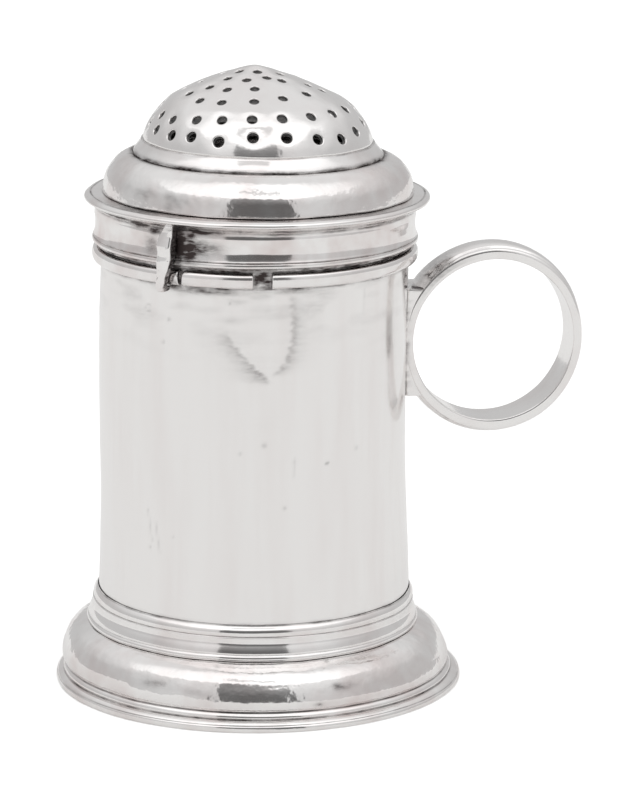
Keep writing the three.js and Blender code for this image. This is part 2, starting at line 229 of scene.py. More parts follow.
def through(points, step=0.12, origin=(0, 0)):
    """A smooth curve through measured points, which are given from the origin. Between two of them
    it is a cubic in the share walked, and its slope at each point is the one that the points on
    either side give. It is cut into lengths of about step."""
    points = np.array(points, dtype=float) + origin
    run = run_of(points)
    slope = np.gradient(points, run, axis=0)
    fine = np.linspace(0, run[-1], int(run[-1] / step) + 2)
    i = np.clip(np.searchsorted(run, fine, side="right") - 1, 0, len(run) - 2)
    span = (run[i + 1] - run[i])[:, None]
    t = (fine - run[i])[:, None] / span
    rise = t**2 * (3 - 2 * t)
    curve = points[i] * (1 - rise) + points[i + 1] * rise
    curve += span * (t * (1 - t) ** 2 * slope[i] - t**2 * (1 - t) * slope[i + 1])
    return np.column_stack([curve, 0 * fine])


# Creases, darkened by the sulphide that polish doesn't reach and by painted shade where they hollow in:
# radius, height, width and darkness, in millimetres
CREASES = np.array([
    (22.66, 13.74, 0.20, 0.62), (23.16, 12.12, 0.07, 0.60), (23.90, 9.66, 0.07, 0.35),
    (23.92, 8.72, 0.10, 0.75), (27.84, 2.52, 0.12, 0.75), (28.22, 1.56, 0.16, 0.85),
    (29.33, 1.00, 0.07, 0.65), (22.10, 62.02, 0.26, 0.80), (22.15, 64.40, 0.40, 1.00),
    (22.90, 64.80, 0.26, 1.00), (23.16, 65.02, 0.12, 0.85), (23.28, 65.78, 0.13, 0.90),
    (23.08, 69.84, 0.20, 1.00), (23.60, 70.34, 0.45, 0.60), (24.44, 70.93, 0.13, 0.65),
    (23.90, 71.74, 0.13, 0.80), (22.02, 71.86, 0.26, 0.85), (18.05, 77.42, 0.48, 1.00),
    (16.62, 79.32, 0.12, 0.70),
])


def crease_sulphide_and_shade(r, z):
    """How dark a turned surface is at radius r and height z, from sulphide and painted shade in its
    creases: the strongest of the creases, each its darkness times exp(-(distance / width) squared)."""
    gap = (r[:, None] - CREASES[:, 0]) ** 2 + (z[:, None] - CREASES[:, 1]) ** 2
    return (CREASES[:, 3] * np.exp(-gap / CREASES[:, 2] ** 2)).max(axis=1)


def smudge(points, angle, height, spread, tall, darkness):
    """A dark patch on a turned surface: darkness times a bell of the angle about the given one,
    in degrees, times a bell of the height."""
    turn = np.degrees(np.arctan2(points[:, 1], points[:, 0])) - angle
    turn = (turn + 180) % 360 - 180
    return darkness * np.exp(-((turn / spread) ** 2) - ((points[:, 2] - height) / tall) ** 2)


def smudged(points, patches):
    """The darkest of many smudges, each given by its angle, height, spread, tallness and darkness."""
    return np.max([smudge(points, *patch) for patch in patches], axis=0)


def mottle(points, seed, average, blotches, limits, count=24):
    """A share that varies in blotches: the average plus the swing times waves of two sizes, kept
    between two limits. The average goes with the swing, and the shortest wave with the longest."""
    return np.clip(average[0] + average[1] * waves(points, seed, count, *blotches), *limits)


def unrolled(points):
    """Places on the drum laid flat: millimetres along its skin to the right of the photograph's
    middle, and the height."""
    turn = np.arctan2(points[:, 1], points[:, 0]) - TO_CAMERA
    turn = (turn + math.pi) % (2 * math.pi) - math.pi
    return np.stack([turn * np.hypot(points[:, 0], points[:, 1]), points[:, 2]], -1)


def from_path(flat, path):
    """Distance of flat places from a path of straight lines: the least, over the lines, of the
    distance to the line's nearest point."""
    starts, ends = np.array(path[:-1]), np.array(path[1:])
    along = ends - starts
    offset = flat[:, None] - starts
    share = np.clip((offset * along).sum(-1) / (along**2).sum(-1), 0, 1)
    return np.linalg.norm(offset - share[..., None] * along, axis=-1).min(axis=1)


def wrapped_faces(rows, columns, closed):
    """Quads of a grid whose columns close on themselves, as its rows do if closed."""
    i = np.arange(rows if closed else rows - 1)[:, None]
    j = np.arange(columns)[None, :]
    below, beside = (i + 1) % rows, (j + 1) % columns
    corners = [i * columns + j, i * columns + beside, below * columns + beside, below * columns + j]
    return np.stack(np.broadcast_arrays(*corners), -1).reshape(-1, 4)


def turned(outline, segments):
    """An outline carried round the drum's axis: a point at radius r and height z goes, at angle a,
    to r cos a, r sin a, z. The steps of a are half as long in front as on average."""
    even = np.arange(segments) * (2 * math.pi / segments)
    a = TO_CAMERA + even - 0.5 * np.sin(even)
    r, z = outline[:, :1], outline[:, 1:2]
    return np.stack([r * np.cos(a), r * np.sin(a), z + 0 * a], -1)


def capped(loops):
    """Rows of a grid joined into a skin, with a fan of triangles to its middle over each end."""
    rows, columns = loops.shape[:2]
    points = np.vstack([loops.reshape(-1, 3), loops[0].mean(axis=0), loops[-1].mean(axis=0)])
    j = np.arange(columns)
    k = (j + 1) % columns
    last = (rows - 1) * columns
    near_cap = np.stack([k, j, np.full_like(j, rows * columns)], -1)
    far_cap = np.stack([last + j, last + k, np.full_like(j, rows * columns + 1)], -1)
    return points, [wrapped_faces(rows, columns, False), np.vstack([near_cap, far_cap])]


def squircle(count, fullness):
    """A rounded square from -1 to 1: cos t and sin t, each with its sign, to the 2 / fullness."""
    t = (np.arange(count) + 0.5) * (2 * math.pi / count)
    bend = 2 / fullness
    p = np.sign(np.cos(t)) * np.abs(np.cos(t)) ** bend
    q = np.sign(np.sin(t)) * np.abs(np.sin(t)) ** bend
    return p, q


def waves(points, seed, count, shortest, longest):
    """A smooth field from -1 to 1 or so: sines of the distance along count random directions, each
    with a random phase and a wavelength between the two given, longer ones standing higher."""
    dice = np.random.default_rng(seed)
    way = dice.normal(size=(count, 3))
    way /= np.linalg.norm(way, axis=1)[:, None]
    span = shortest * (longest / shortest) ** dice.random(count)
    phase = dice.random(count) * 2 * math.pi
    field = np.sin(points @ (way * (2 * math.pi / span)[:, None]).T + phase)
    return field @ (span / span.mean())


# How far the axis strays to the photograph's right at each height, in millimetres
STRAY = np.array([
    (0, 0.2), (2.5, -0.1), (5, -0.5), (8.7, -0.7), (11, -0.65), (14, -0.45), (18, -0.4), (26, -0.45),
    (35, -0.6), (45, -0.55), (55, -0.4), (62, -0.12), (69.6, 0.0), (70.8, 0.15), (72, 0.4), (77, 0.45),
    (80, 0.35), (84, 0.35), (87, 0.08), (90, 0.05),
])

# How much stronger the fine waves are at each height than on the drum
WAVINESS = np.array([
    (0, 1), (2, 1.5), (3.5, 2.6), (8, 2.6), (9.5, 1.2), (14, 1), (66, 1), (71, 1.3), (76, 1.6),
    (79, 2.4), (86, 2.6), (90, 1.2),
])

# How steeply each level falls to the photograph's right
TILT = np.array([
    (0, 0.0), (2.5, 0.006), (8.7, 0.010), (13.8, 0.012), (20, 0.005), (62, 0.005), (65, 0.006),
    (70.8, 0.0116), (72, 0.011), (77.2, 0.017), (79.3, 0.021), (90, 0.020),
])


def made_by_hand(points):
    """Moves points as hand work left them. The radius gains slow sines of twice and three times
    the angle and fine random waves, and the height gains fine waves. The axis strays sideways by
    the measured curve of the height, and the height falls towards the photograph's right by the
    measured tilt times the distance."""
    wear = bpy.context.scene.dredger_wear
    wobble, planish = wear.wobble / MM, wear.planish / MM
    x, y, z = points.T
    r = np.hypot(x, y)
    a = np.arctan2(y, x)
    near_axis = np.clip(r / 15, 0, 1)
    low = np.clip((64 - z) / 20, 0.35, 1)
    swing = wobble * low * (np.sin(2 * a + 1.1) + 0.6 * np.sin(3 * a + 0.05 * z))
    planish = planish * np.interp(z, WAVINESS[:, 0], WAVINESS[:, 1])
    swing = (swing + planish * waves(points, 11, 28, 3.5, 14)) * near_axis
    lift = planish * waves(points, 12, 28, 3.5, 14) * np.clip((z - 2) / 3, 0, 1)
    right = np.array([-math.sin(TO_CAMERA), math.cos(TO_CAMERA)])
    aside = x * right[0] + y * right[1]
    stray = np.interp(z, STRAY[:, 0], STRAY[:, 1])
    tilt = np.interp(z, TILT[:, 0], TILT[:, 1]) * wear.lean
    scale = 1 + swing / np.maximum(r, 1)
    moved = [x * scale + stray * right[0], y * scale + stray * right[1], z + lift - tilt * aside]
    return np.stack(moved, -1)


def facing_out(points, faces):
    """The faces, turned round where the volume that they enclose, a sixth of the sum of a . (b x c)
    over their triangles, comes out negative."""
    volume = 0.0
    for group in faces:
        a, b, c = (points[group[:, i]] for i in (0, 1, 2))
        volume += np.einsum("ij,ij->", a, np.cross(b, c))
        if group.shape[1] == 4:
            volume += np.einsum("ij,ij->", a, np.cross(c, points[group[:, 3]]))
    return [group[:, ::-1] for group in faces] if volume < 0 else faces


def put_in_place(name, points, faces, material, body, node, dirt_and_shade, along):
    """Makes the object of a piece that replaces a CAD node, from points in millimetres, with its tarnish
    and painted shade, and its distance along the section, as attributes."""
    points = made_by_hand(points)
    placed = (points * MM + np.array([AXIS_X, 0, 0])).astype(np.float32)
    faces = facing_out(points, faces)
    corners = np.concatenate([group.ravel() for group in faces]).astype(np.int32)
    sides = np.concatenate([np.full(len(group), group.shape[1]) for group in faces])
    mesh = bpy.data.meshes.new(name)
    mesh.vertices.add(len(placed))
    mesh.vertices.foreach_set("co", placed.ravel())
    mesh.loops.add(len(corners))
    mesh.loops.foreach_set("vertex_index", corners)
    mesh.polygons.add(len(sides))
    mesh.polygons.foreach_set("loop_start", (np.cumsum(sides) - sides).astype(np.int32))
    mesh.update(calc_edges=True)
    for attribute, values in (("tarnish_and_shade", dirt_and_shade), ("along", along)):
        store = mesh.attributes.new(attribute, "FLOAT", "POINT")
        store.data.foreach_set("value", np.ascontiguousarray(values, dtype=np.float32))
    if mesh.validate():
        raise RuntimeError(name + " has broken faces")
    mesh.shade_smooth()
    mesh.materials.append(material)
    piece = bpy.data.objects.new(name, mesh)
    bpy.context.scene.collection.objects.link(piece)
    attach(piece, body)
    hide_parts(node)
    return piece


def put_turned(name, outline, material, body, node, step=0.15, extra=None, press=None):
    """Makes a turned piece from its closed outline, with extra dirt and painted shade, and a pressed shape,
    if given.
    """
    segments = bpy.context.scene.dredger_sizes.segments
    outline = rounded(outline, step)
    grid = turned(outline, segments)
    points = grid.reshape(-1, 3)
    # Sulphide and painted shade of the creases, mottled
    dirt_and_shade = np.repeat(crease_sulphide_and_shade(outline[:, 0], outline[:, 1]), segments)
    dirt_and_shade = dirt_and_shade * mottle(points, 31, (0.92, 0.06), (1.5, 7), (0.45, 1.25))
    if extra is not None:
        dirt_and_shade = np.maximum(dirt_and_shade, extra(points))
    if press is not None:
        points = press(points)
    along = np.repeat(run_of(outline), segments)
    faces = [wrapped_faces(len(outline), segments, True)]
    return put_in_place(name, points, faces, material, body, node, dirt_and_shade, along)


def add_node(tree, kind, settings=None, links=None):
    """Adds a node, sets its properties and its sockets' own values, and links sockets into it."""
    node = tree.nodes.new(kind)
    for key, value in (settings or {}).items():
        if isinstance(key, str) and hasattr(node, key):
            setattr(node, key, value)
        else:
            node.inputs[key].default_value = value
    for key, socket in (links or {}).items():
        tree.links.new(socket, node.inputs[key])
    return node


# Brightness that many reflections give to the inside of the cover
TRAPPED_LIGHT = 0.07


def sterling_silver(name, roughness, streaks, ripples, blotches, bloom_size=(130, 130, 130)):
    """Sterling silver, polished by hand over the marks of its making.

    It is a nearly white metal that mirrors the room a little softly. Old polish leaves hairline wiping
    scratches along the turning, a faint warm bloom, and grey-brown sulphide in the creases, which is
    rougher than the metal; the same rough grey-brown also paints shade into creases and beside parts.
    Streaks and ripples are shares of the wear's depths."""
    wear = bpy.context.scene.dredger_wear
    colours = bpy.context.scene.dredger_colours
    material = bpy.data.materials.new(name)
    material.use_nodes = True
    tree = material.node_tree
    tree.nodes.clear()
    place = add_node(tree, "ShaderNodeTexCoord").outputs["Object"]
    split = add_node(tree, "ShaderNodeSeparateXYZ", links={"Vector": place})
    along = add_node(tree, "ShaderNodeAttribute", {"attribute_name": "along"}).outputs["Fac"]
    # Tarnish, solder and stains, and painted shade, per point
    dirt_and_shade = add_node(tree, "ShaderNodeAttribute", {"attribute_name": "tarnish_and_shade"}).outputs["Fac"]

    # Wiping scratches: about 0.25 mm apart across the turning, and 20 mm long round it
    around_x, around_y, across = (
        add_node(tree, "ShaderNodeMath", {"operation": "MULTIPLY", 1: often}, {0: source}).outputs[0]
        for source, often in ((split.outputs["X"], 50.0), (split.outputs["Y"], 50.0), (along, 4.0))
    )
    streak_place = add_node(tree, "ShaderNodeCombineXYZ", links={"X": around_x, "Y": around_y, "Z": across})
    scratch = add_node(tree, "ShaderNodeTexNoise", {"Scale": 1.0, "Detail": 3.0, "Roughness": 0.6},
                       {"Vector": streak_place.outputs[0]})

    # Blooms of thin tarnish: 130 to the metre, or 8 mm apart, on most pieces
    bloomed = add_node(tree, "ShaderNodeVectorMath", {"operation": "MULTIPLY", 1: bloom_size}, {0: place})
    bloom = add_node(tree, "ShaderNodeTexNoise", {"Scale": 1.0, "Detail": 3.0, "Roughness": 0.6},
                     {"Vector": bloomed.outputs[0]})
    bloom_share = add_node(tree, "ShaderNodeMapRange", {
        "From Min": 0.42, "From Max": 0.75, "To Min": 0.0, "To Max": blotches, "clamp": True,
    }, {"Value": bloom.outputs["Fac"]})

    # Sulphide and painted shade: the crease attribute, broken by wiping into grains 1.4 mm long and 0.4 mm
    # high
    wiped = add_node(tree, "ShaderNodeVectorMath", {"operation": "MULTIPLY", 1: (700, 700, 2400)},
                     {0: place})
    grain = add_node(tree, "ShaderNodeTexNoise", {"Scale": 1.0, "Detail": 4.0, "Roughness": 0.65},
                     {"Vector": wiped.outputs[0]})
    grain_share = add_node(tree, "ShaderNodeMapRange", {
        "From Min": 0.3, "From Max": 0.7, "To Min": 0.45 * wear.tarnish_and_shade, "To Max": 1.3 * wear.tarnish_and_shade,
    }, {"Value": grain.outputs["Fac"]})
    sulphide_and_shade = add_node(tree, "ShaderNodeMath", {"operation": "MULTIPLY", "use_clamp": True},
                        {0: dirt_and_shade, 1: grain_share.outputs[0]})

    silver = add_node(tree, "ShaderNodeMix", {
        "data_type": "RGBA", 6: (*colours.silver, 1), 7: (*colours.warm_silver, 1),
    }, {0: bloom_share.outputs[0]})
    colour = add_node(tree, "ShaderNodeMix", {"data_type": "RGBA", 7: (*colours.tarnish_and_shade, 1)},
                      {0: sulphide_and_shade.outputs[0], 6: silver.outputs[2]})

    polish = add_node(tree, "ShaderNodeMapRange", {
        "From Min": 0.3, "From Max": 0.7, "To Min": roughness - 0.02, "To Max": roughness + 0.04,
    }, {"Value": scratch.outputs["Fac"]})
    dull = add_node(tree, "ShaderNodeMath", {"operation": "MULTIPLY_ADD", 1: 0.35},
                    {0: sulphide_and_shade.outputs[0], 2: polish.outputs[0]})

    # Ripples of the finish, 560 to the metre or 1.8 mm apart, with the wiping scratches over them
    ripple = add_node(tree, "ShaderNodeTexNoise", {"Scale": 560.0, "Detail": 2.5, "Roughness": 0.5},
                      {"Vector": place})
    rippled = add_node(tree, "ShaderNodeBump", {"Strength": 1.0, "Distance": wear.ripple * ripples},
                       {"Height": ripple.outputs["Fac"]})
    depth = add_node(tree, "ShaderNodeBump", {"Strength": streaks, "Distance": wear.scratches},
                     {"Height": scratch.outputs["Fac"], "Normal": rippled.outputs[0]})

    # Inside the cover, the light of the many reflections that the renderer cuts short
    inside = add_node(tree, "ShaderNodeAttribute", {"attribute_name": "inside"}).outputs["Fac"]
    trapped = add_node(tree, "ShaderNodeMath", {"operation": "MULTIPLY", 1: TRAPPED_LIGHT}, {0: inside})
    white = {"Metallic": 1.0, "Emission Color": (1, 1, 1, 1)}
    shader = add_node(tree, "ShaderNodeBsdfPrincipled", white, {
        "Base Color": colour.outputs[2], "Roughness": dull.outputs[0], "Normal": depth.outputs[0],
        "Emission Strength": trapped.outputs[0],
    })
    add_node(tree, "ShaderNodeOutputMaterial", links={"Surface": shader.outputs[0]})
    return material


def silver_called(name):
    """The silver of that name, made the first time that a piece asks for it."""
    # Roughness, shares of the wear's scratches and ripples, strength of the blooms, and how many of
    # them lie in a metre along X, Y and Z where it isn't the usual number
    finishes = {
        # Rolled sheet, planished and hand polished: broad soft reflections, and faint upright bands
        # about 3 mm wide and 30 mm tall where it was rubbed up and down
        "planished_sterling_sheet": (0.13, 0.5, 0.5, 0.17, (340, 340, 32)),
        # Shells raised with hammer and stake: the edges of their reflections are ragged
        "raised_sterling_shell": (0.10, 0.6, 14.0, 0.7),
        # Turned mouldings: mirror bands with fine lines round them
        "turned_sterling_moulding": (0.09, 0.8, 2.0, 0.6),
        # Turned band that fingers grip and cloth seldom cleans: warmer, under a thin tarnish
        "handled_sterling_band": (0.09, 0.8, 2.0, 1.2),
        # Drawn wire: bright on top, dull along its solder
        "drawn_sterling_wire": (0.12, 0.8, 2.0, 0.6),
        # Drawn strap, worn smooth by fingers
        "drawn_sterling_strap": (0.12, 0.5, 1.5, 0.3),
        # Hammered and punched dome: softly broken reflections
        "pierced_sterling_dome": (0.12, 0.5, 7.0, 0.25),
        # Filed hooks: facets that file and polish left uneven
        "filed_sterling_hook": (0.12, 1.0, 3.0, 0.6),
    }
    found = bpy.data.materials.get(name)
    return found or sterling_silver(name, *finishes[name])


# The dent in the drum's front, laid flat: the fold on its left and the edge on its right
DENT_FOLD = [(-3.8, 56.4), (-3.1, 54.6), (-1.2, 52.3), (0.6, 50.4), (2.1, 49.2)]
DENT_EDGE = [(2.1, 48.8), (3.1, 50.0), (4.5, 51.4), (5.5, 54.6), (5.4, 57.0), (5.0, 60.4)]

# Solder and polish in the notch and under the seam, and the rail's painted shadow under it: angle, height,
# spread, tallness and darkness
DRUM_SOLDER_AND_SHADOW = [
    (-126.5, 62.1, 3.2, 1.0, 0.75), (-122.0, 61.7, 4.0, 0.7, 0.45), (-96.4, 63.9, 3.4, 1.1, 1.25),
    (-94.5, 62.9, 2.6, 1.0, 0.95), (-95.5, 62.2, 3.4, 0.5, 0.7), (-98.6, 63.4, 1.4, 1.5, 1.0),
    (-118.5, 61.5, 14.0, 0.45, 0.85), (-84.0, 61.6, 8.0, 0.35, 0.6),
]

# Stains on the drum, laid flat: place, height, radius and darkness
STAINS = [
    (-12.4, 57.0, 0.26, 0.3), (-13.3, 53.7, 0.26, 0.2), (1.7, 39.7, 0.34, 0.28), (-1.7, 38.5, 0.24, 0.22),
    (11.0, 36.5, 0.22, 0.7), (6.0, 37.0, 0.26, 0.2), (4.5, 30.6, 0.28, 0.2), (16.1, 38.0, 0.3, 0.2),
    (-3.4, 60.0, 0.2, 0.4), (-16.0, 23.6, 0.25, 0.2), (-11.9, 25.7, 0.2, 0.15),
]

# The stain that left only its ring: place, height, and radius and width of the ring
RING_STAIN = (-16.1, 58.2, 0.45, 0.16)

# Upright scratches on the drum, laid flat
SCRATCHES = [
    [(17.1, 61.0), (17.2, 55.2)], [(6.0, 37.6), (5.9, 34.9)], [(-16.2, 29.0), (-15.6, 24.5)],
    [(-14.9, 27.6), (-14.2, 23.0)],
]
SCRATCH_WIDTH = 0.15


def dent_shade(flat):
    """Darkness beside the dent. It rises within 0.15 mm of each edge, which is jagged by sines of
    the height, and fades outwards: to the left of the fold, below which it is darkest, and to the
    right of the edge."""
    across, height = flat.T
    jag = 0.20 * np.sin(9.3 * height) * np.sin(4.1 * height + 1) + 0.10 * np.sin(15.7 * height + 2)

    def beside(edge, way, reach_out, low, high):
        """Shade on the side of the edge that way, 1 or -1, points to, between two heights."""
        places = np.array(edge)
        order = np.argsort(places[:, 1])
        line = np.interp(height, places[order, 1], places[order, 0])
        past = way * (across - line) + jag
        rise = 1 / (1 + np.exp(-past / 0.13))
        window = 1 / (1 + np.exp(-(height - low) / 0.15)) / (1 + np.exp((height - high) / 0.4))
        return rise * np.exp(-np.clip(past, 0, 99) / reach_out) * window

    fold = beside(DENT_FOLD, -1, 1.5, 48.6, 55.8)
    fold = fold * (0.42 + 0.3 * np.exp(-(((height - 49.6) / 1.2) ** 2)))
    edge = 0.46 * beside(DENT_EDGE, 1, 1.1, 49.8, 60.6)
    return np.maximum(fold, edge)


def dented(points):
    """Presses the dent into the drum: between its folds a hollow as deep as the wear says, a flat
    bell of 3.6 mm by 5.5 mm, and along each fold a ridge half as high, a bell of 1.1 mm."""
    deep = bpy.context.scene.dredger_wear.dent / MM
    flat = unrolled(points)
    middle = np.exp(-(((flat[:, 0] - 1.2) / 3.6) ** 2 + ((flat[:, 1] - 55.5) / 5.5) ** 2) ** 1.5)
    folds = np.minimum(from_path(flat, DENT_FOLD), from_path(flat, DENT_EDGE))
    push = deep * (0.5 * np.exp(-((folds / 1.1) ** 2)) - middle)
    scale = 1 + push / np.hypot(points[:, 0], points[:, 1])
    return points * np.stack([scale, scale, 1 + 0 * scale], -1)


class DREDGER_OT_drum(bpy.types.Operator):
    """Make the drum: a straight tube of sheet that spreads a little into the foot"""

    bl_idname = "dredger.drum"
    bl_label = "Drum"

    def execute(self, context):
        size = millimetres()
        mouth = size["drum_top"] - size["mouth_gap"]
        up = np.arange(size["drum_bottom"], mouth, 0.3)
        down = np.arange(mouth - 1, size["drum_bottom"], -1.5)

        def spread(z):
            """Radius over the straight drum's: the flare times the height left to its top, as a
            share of its whole height, to the 1.6."""
            left = (size["collar_top"] + size["flare_height"] - z) / size["flare_height"]
            return size["drum_flare"] * np.clip(left, 0, 1) ** 1.6

        outer = size["drum_radius"] + spread(up)
        inner = size["drum_radius"] - size["sheet"] + spread(down)
        outline = np.vstack([
            corner(outer[0], up[0], 0.05),
            np.column_stack([outer[1:], up[1:], 0 * up[1:]]),
            corner(size["drum_radius"], mouth, 0.12),
            corner(size["drum_radius"] - size["sheet"], mouth, 0.12),
            np.column_stack([inner, down, 0 * down]),
            corner(size["drum_radius"] + size["drum_flare"] - size["sheet"], size["drum_bottom"], 0.05),
        ])

        def marks(points):
            """Solder burnt into the silver under the seam and in the notch, the rail's painted shadow, the
            shade of the dent, and small streaks, scratches and stains."""
            flat = unrolled(points)
            outside = np.hypot(points[:, 0], points[:, 1]) > size["drum_radius"] - 0.1
            ragged = mottle(points * [0.3, 0.3, 1], 41, (0.9, 0.09), (0.6, 1.6), (0.3, 1.5), 20)
            rubbed = mottle(points * [0.6, 0.6, 1.6], 43, (0.2, 0.12), (2, 7), (0, 1.2), 28)

            def patch(across, height, wide, tall):
                """A bell of the place on the flat drum."""
                return np.exp(-(((flat[:, 0] - across) / wide) ** 2) - ((flat[:, 1] - height) / tall) ** 2)

            across, height, radius, width = RING_STAIN
            from_ring = np.hypot(flat[:, 0] - across, flat[:, 1] - height) - radius
            found = [
                smudged(points, DRUM_SOLDER_AND_SHADOW),
                dent_shade(flat),
                0.12 * ragged * patch(-3.0, 57.6, 2.5, 0.5),
                0.14 * ragged * patch(-2.6, 60.2, 1.6, 0.5),
                0.10 * ragged * patch(7.0, 57.6, 2.0, 3.0),
                0.22 * np.exp(-((from_ring / width) ** 2)),
                0.16 * rubbed * np.exp(-(((flat[:, 1] - 61.5) / 6.5) ** 2)),
            ]
            found += [0.15 * np.exp(-((from_path(flat, line) / SCRATCH_WIDTH) ** 2)) for line in SCRATCHES]
            found += [dark * patch(across, height, wide, wide) for across, height, wide, dark in STAINS]
            return np.max(found, axis=0) * outside

        material = silver_called("planished_sterling_sheet")
        put_turned("drum_tube", outline, material, "dredger_body", "body_drum", 1.5, marks,
                   dented)
        return {"FINISHED"}


class DREDGER_OT_bottom(bpy.types.Operator):
    """Make the flat bottom: a disc let in under the drum"""

    bl_idname = "dredger.bottom"
    bl_label = "Bottom"

    def execute(self, context):
        size = millimetres()
        top = size["drum_bottom"]
        under = top - size["sheet"]
        edge = size["drum_radius"] + size["drum_flare"]
        steps = np.linspace(0.5, edge - 0.1, 44)
        r = np.concatenate([steps, [edge, edge], steps[::-1]])
        z = np.concatenate([under + 0 * steps, [under + 0.1, top - 0.1], top + 0 * steps])
        grid = turned(np.stack([r, z], -1), size["segments"])
        points, faces = capped(grid)
        far = np.hypot(points[:, 0], points[:, 1])
        dirt_and_shade = 0.25 + 0.6 * np.clip((far - 19) / 3, 0, 1)
        material = silver_called("planished_sterling_sheet")
        put_in_place("bottom_disc", points, faces, material, "dredger_body", "base_disc",
                     dirt_and_shade, far)
        return {"FINISHED"}


# Outlines of the foot, in millimetres. The collar's are given out from the bore and up from its
# lower edge, the ovolo's out from its widest place and up from its lower edge, and the rim's out
# from its edge, or for the bead from the ovolo's widest place, and up from the floor.
COLLAR_BEAD = [(1.24, 0.04), (1.38, 0.22), (1.44, 0.48), (1.36, 0.74), (1.22, 0.90), (1.16, 0.95)]
COLLAR_HOLLOW = [
    (1.16, 1.00), (1.16, 1.18), (1.09, 1.46), (0.98, 1.76), (0.86, 2.02), (0.74, 2.25), (0.68, 2.42),
    (0.66, 2.62), (0.655, 3.0), (0.65, 3.38),
]
COLLAR_REED = [
    (0.49, 3.46), (0.56, 3.6), (0.58, 3.8), (0.57, 4.05), (0.49, 4.36), (0.33, 4.62), (0.18, 4.8),
    (0.05, 4.92),
]
OVOLO_SWELL = [
    (-0.22, 0.06), (-0.06, 0.4), (0.06, 0.9), (0.06, 1.3), (-0.02, 1.8), (-0.16, 2.3), (-0.38, 2.9),
    (-0.66, 3.5), (-1.0, 4.1), (-1.42, 4.6), (-2.0, 5.15), (-2.7, 5.6), (-3.4, 5.92),
]
RIM_EDGE = [(-0.04, 0.08), (0.02, 0.28), (0.01, 0.55), (-0.05, 0.8), (-0.16, 0.94)]
RIM_STEP = [(-0.2, 1.02), (-0.32, 1.16), (-0.56, 1.34), (-0.9, 1.47), (-1.24, 1.52)]
RIM_BEAD = [(0.14, 1.56), (0.22, 1.72), (0.22, 1.92), (0.13, 2.12), (-0.04, 2.32), (-0.24, 2.45)]

# Painted dark reflections on the ovolo, to the left and right of its middle
OVOLO_DARK_REFLECTIONS = [
    (-128.9, 5.5, 3.6, 0.5, 0.5), (-72.5, 5.5, 3.8, 0.5, 0.55), (-116.0, 5.0, 3.5, 0.6, 0.25),
    (-80.5, 3.4, 1.2, 0.25, 0.5), (-110.0, 8.3, 1.5, 0.25, 0.3), (-74.0, 8.5, 0.8, 0.15, 0.9),
]


class DREDGER_OT_foot(bpy.types.Operator):
    """Make the foot: reeded collar, hollow ovolo and the stepped wire that it stands on"""

    bl_idname = "dredger.foot"
    bl_label = "Foot"

    def execute(self, context):
        size = millimetres()
        material = silver_called("turned_sterling_moulding")
        bore = size["drum_radius"] + size["drum_flare"] + 0.1
        low, high = size["collar_base"], size["collar_top"]
        collar = np.vstack([
            corner(bore + 1.2, low, 0.03),
            through(COLLAR_BEAD, 0.06, (bore, low)),
            through(COLLAR_HOLLOW, 0.12, (bore, low)),
            corner(bore + 0.46, low + 3.42),
            through(COLLAR_REED, 0.06, (bore, low)),
            corner(bore + 0.03, high, 0.02),
            corner(bore, high, 0.02),
            corner(bore, low, 0.05),
        ])
        put_turned("foot_collar_ring", collar, material, "dredger_body", "foot_collar")

        def dark_patches(points):
            """The painted dark reflections, torn by the waves of the hammer."""
            return smudged(points, OVOLO_DARK_REFLECTIONS) * mottle(points, 51, (0.8, 0.1), (1, 4), (0, 1.5))

        base = size["ovolo_base"]
        wide = bore + 5.4
        wall = 0.9
        ovolo = np.vstack([
            corner(wide - 0.26, base, 0.05),
            through([*OVOLO_SWELL, (-4.05, low - 0.02 - base)], 0.12, (wide, base)),
            corner(bore, low, 0.05),
            swell((wide - wall, base + 0.9), (bore, low - wall), 2, 24)[::-1],
            corner(wide - wall, base, 0.05),
        ])
        raised = silver_called("raised_sterling_shell")
        put_turned("foot_ovolo_shell", ovolo, raised, "dredger_body", "foot_ovolo", 0.15,
                   dark_patches)

        out = size["rim_radius"]
        rim_wide = 2.6
        rim = np.vstack([
            corner(out - rim_wide, 0, 0.15),
            corner(out - 0.12, 0, 0.06),
            through(RIM_EDGE, 0.07, (out, 0)),
            corner(out - 0.2, 0.98),
            through(RIM_STEP, 0.08, (out, 0)),
            through(RIM_BEAD, 0.07, (wide, 0)),
            corner(wide - 0.3, base, 0.03),
            corner(out - rim_wide, base, 0.1),
        ])
        put_turned("foot_rim_wire", rim, material, "dredger_body", "foot_rim")
        return {"FINISHED"}


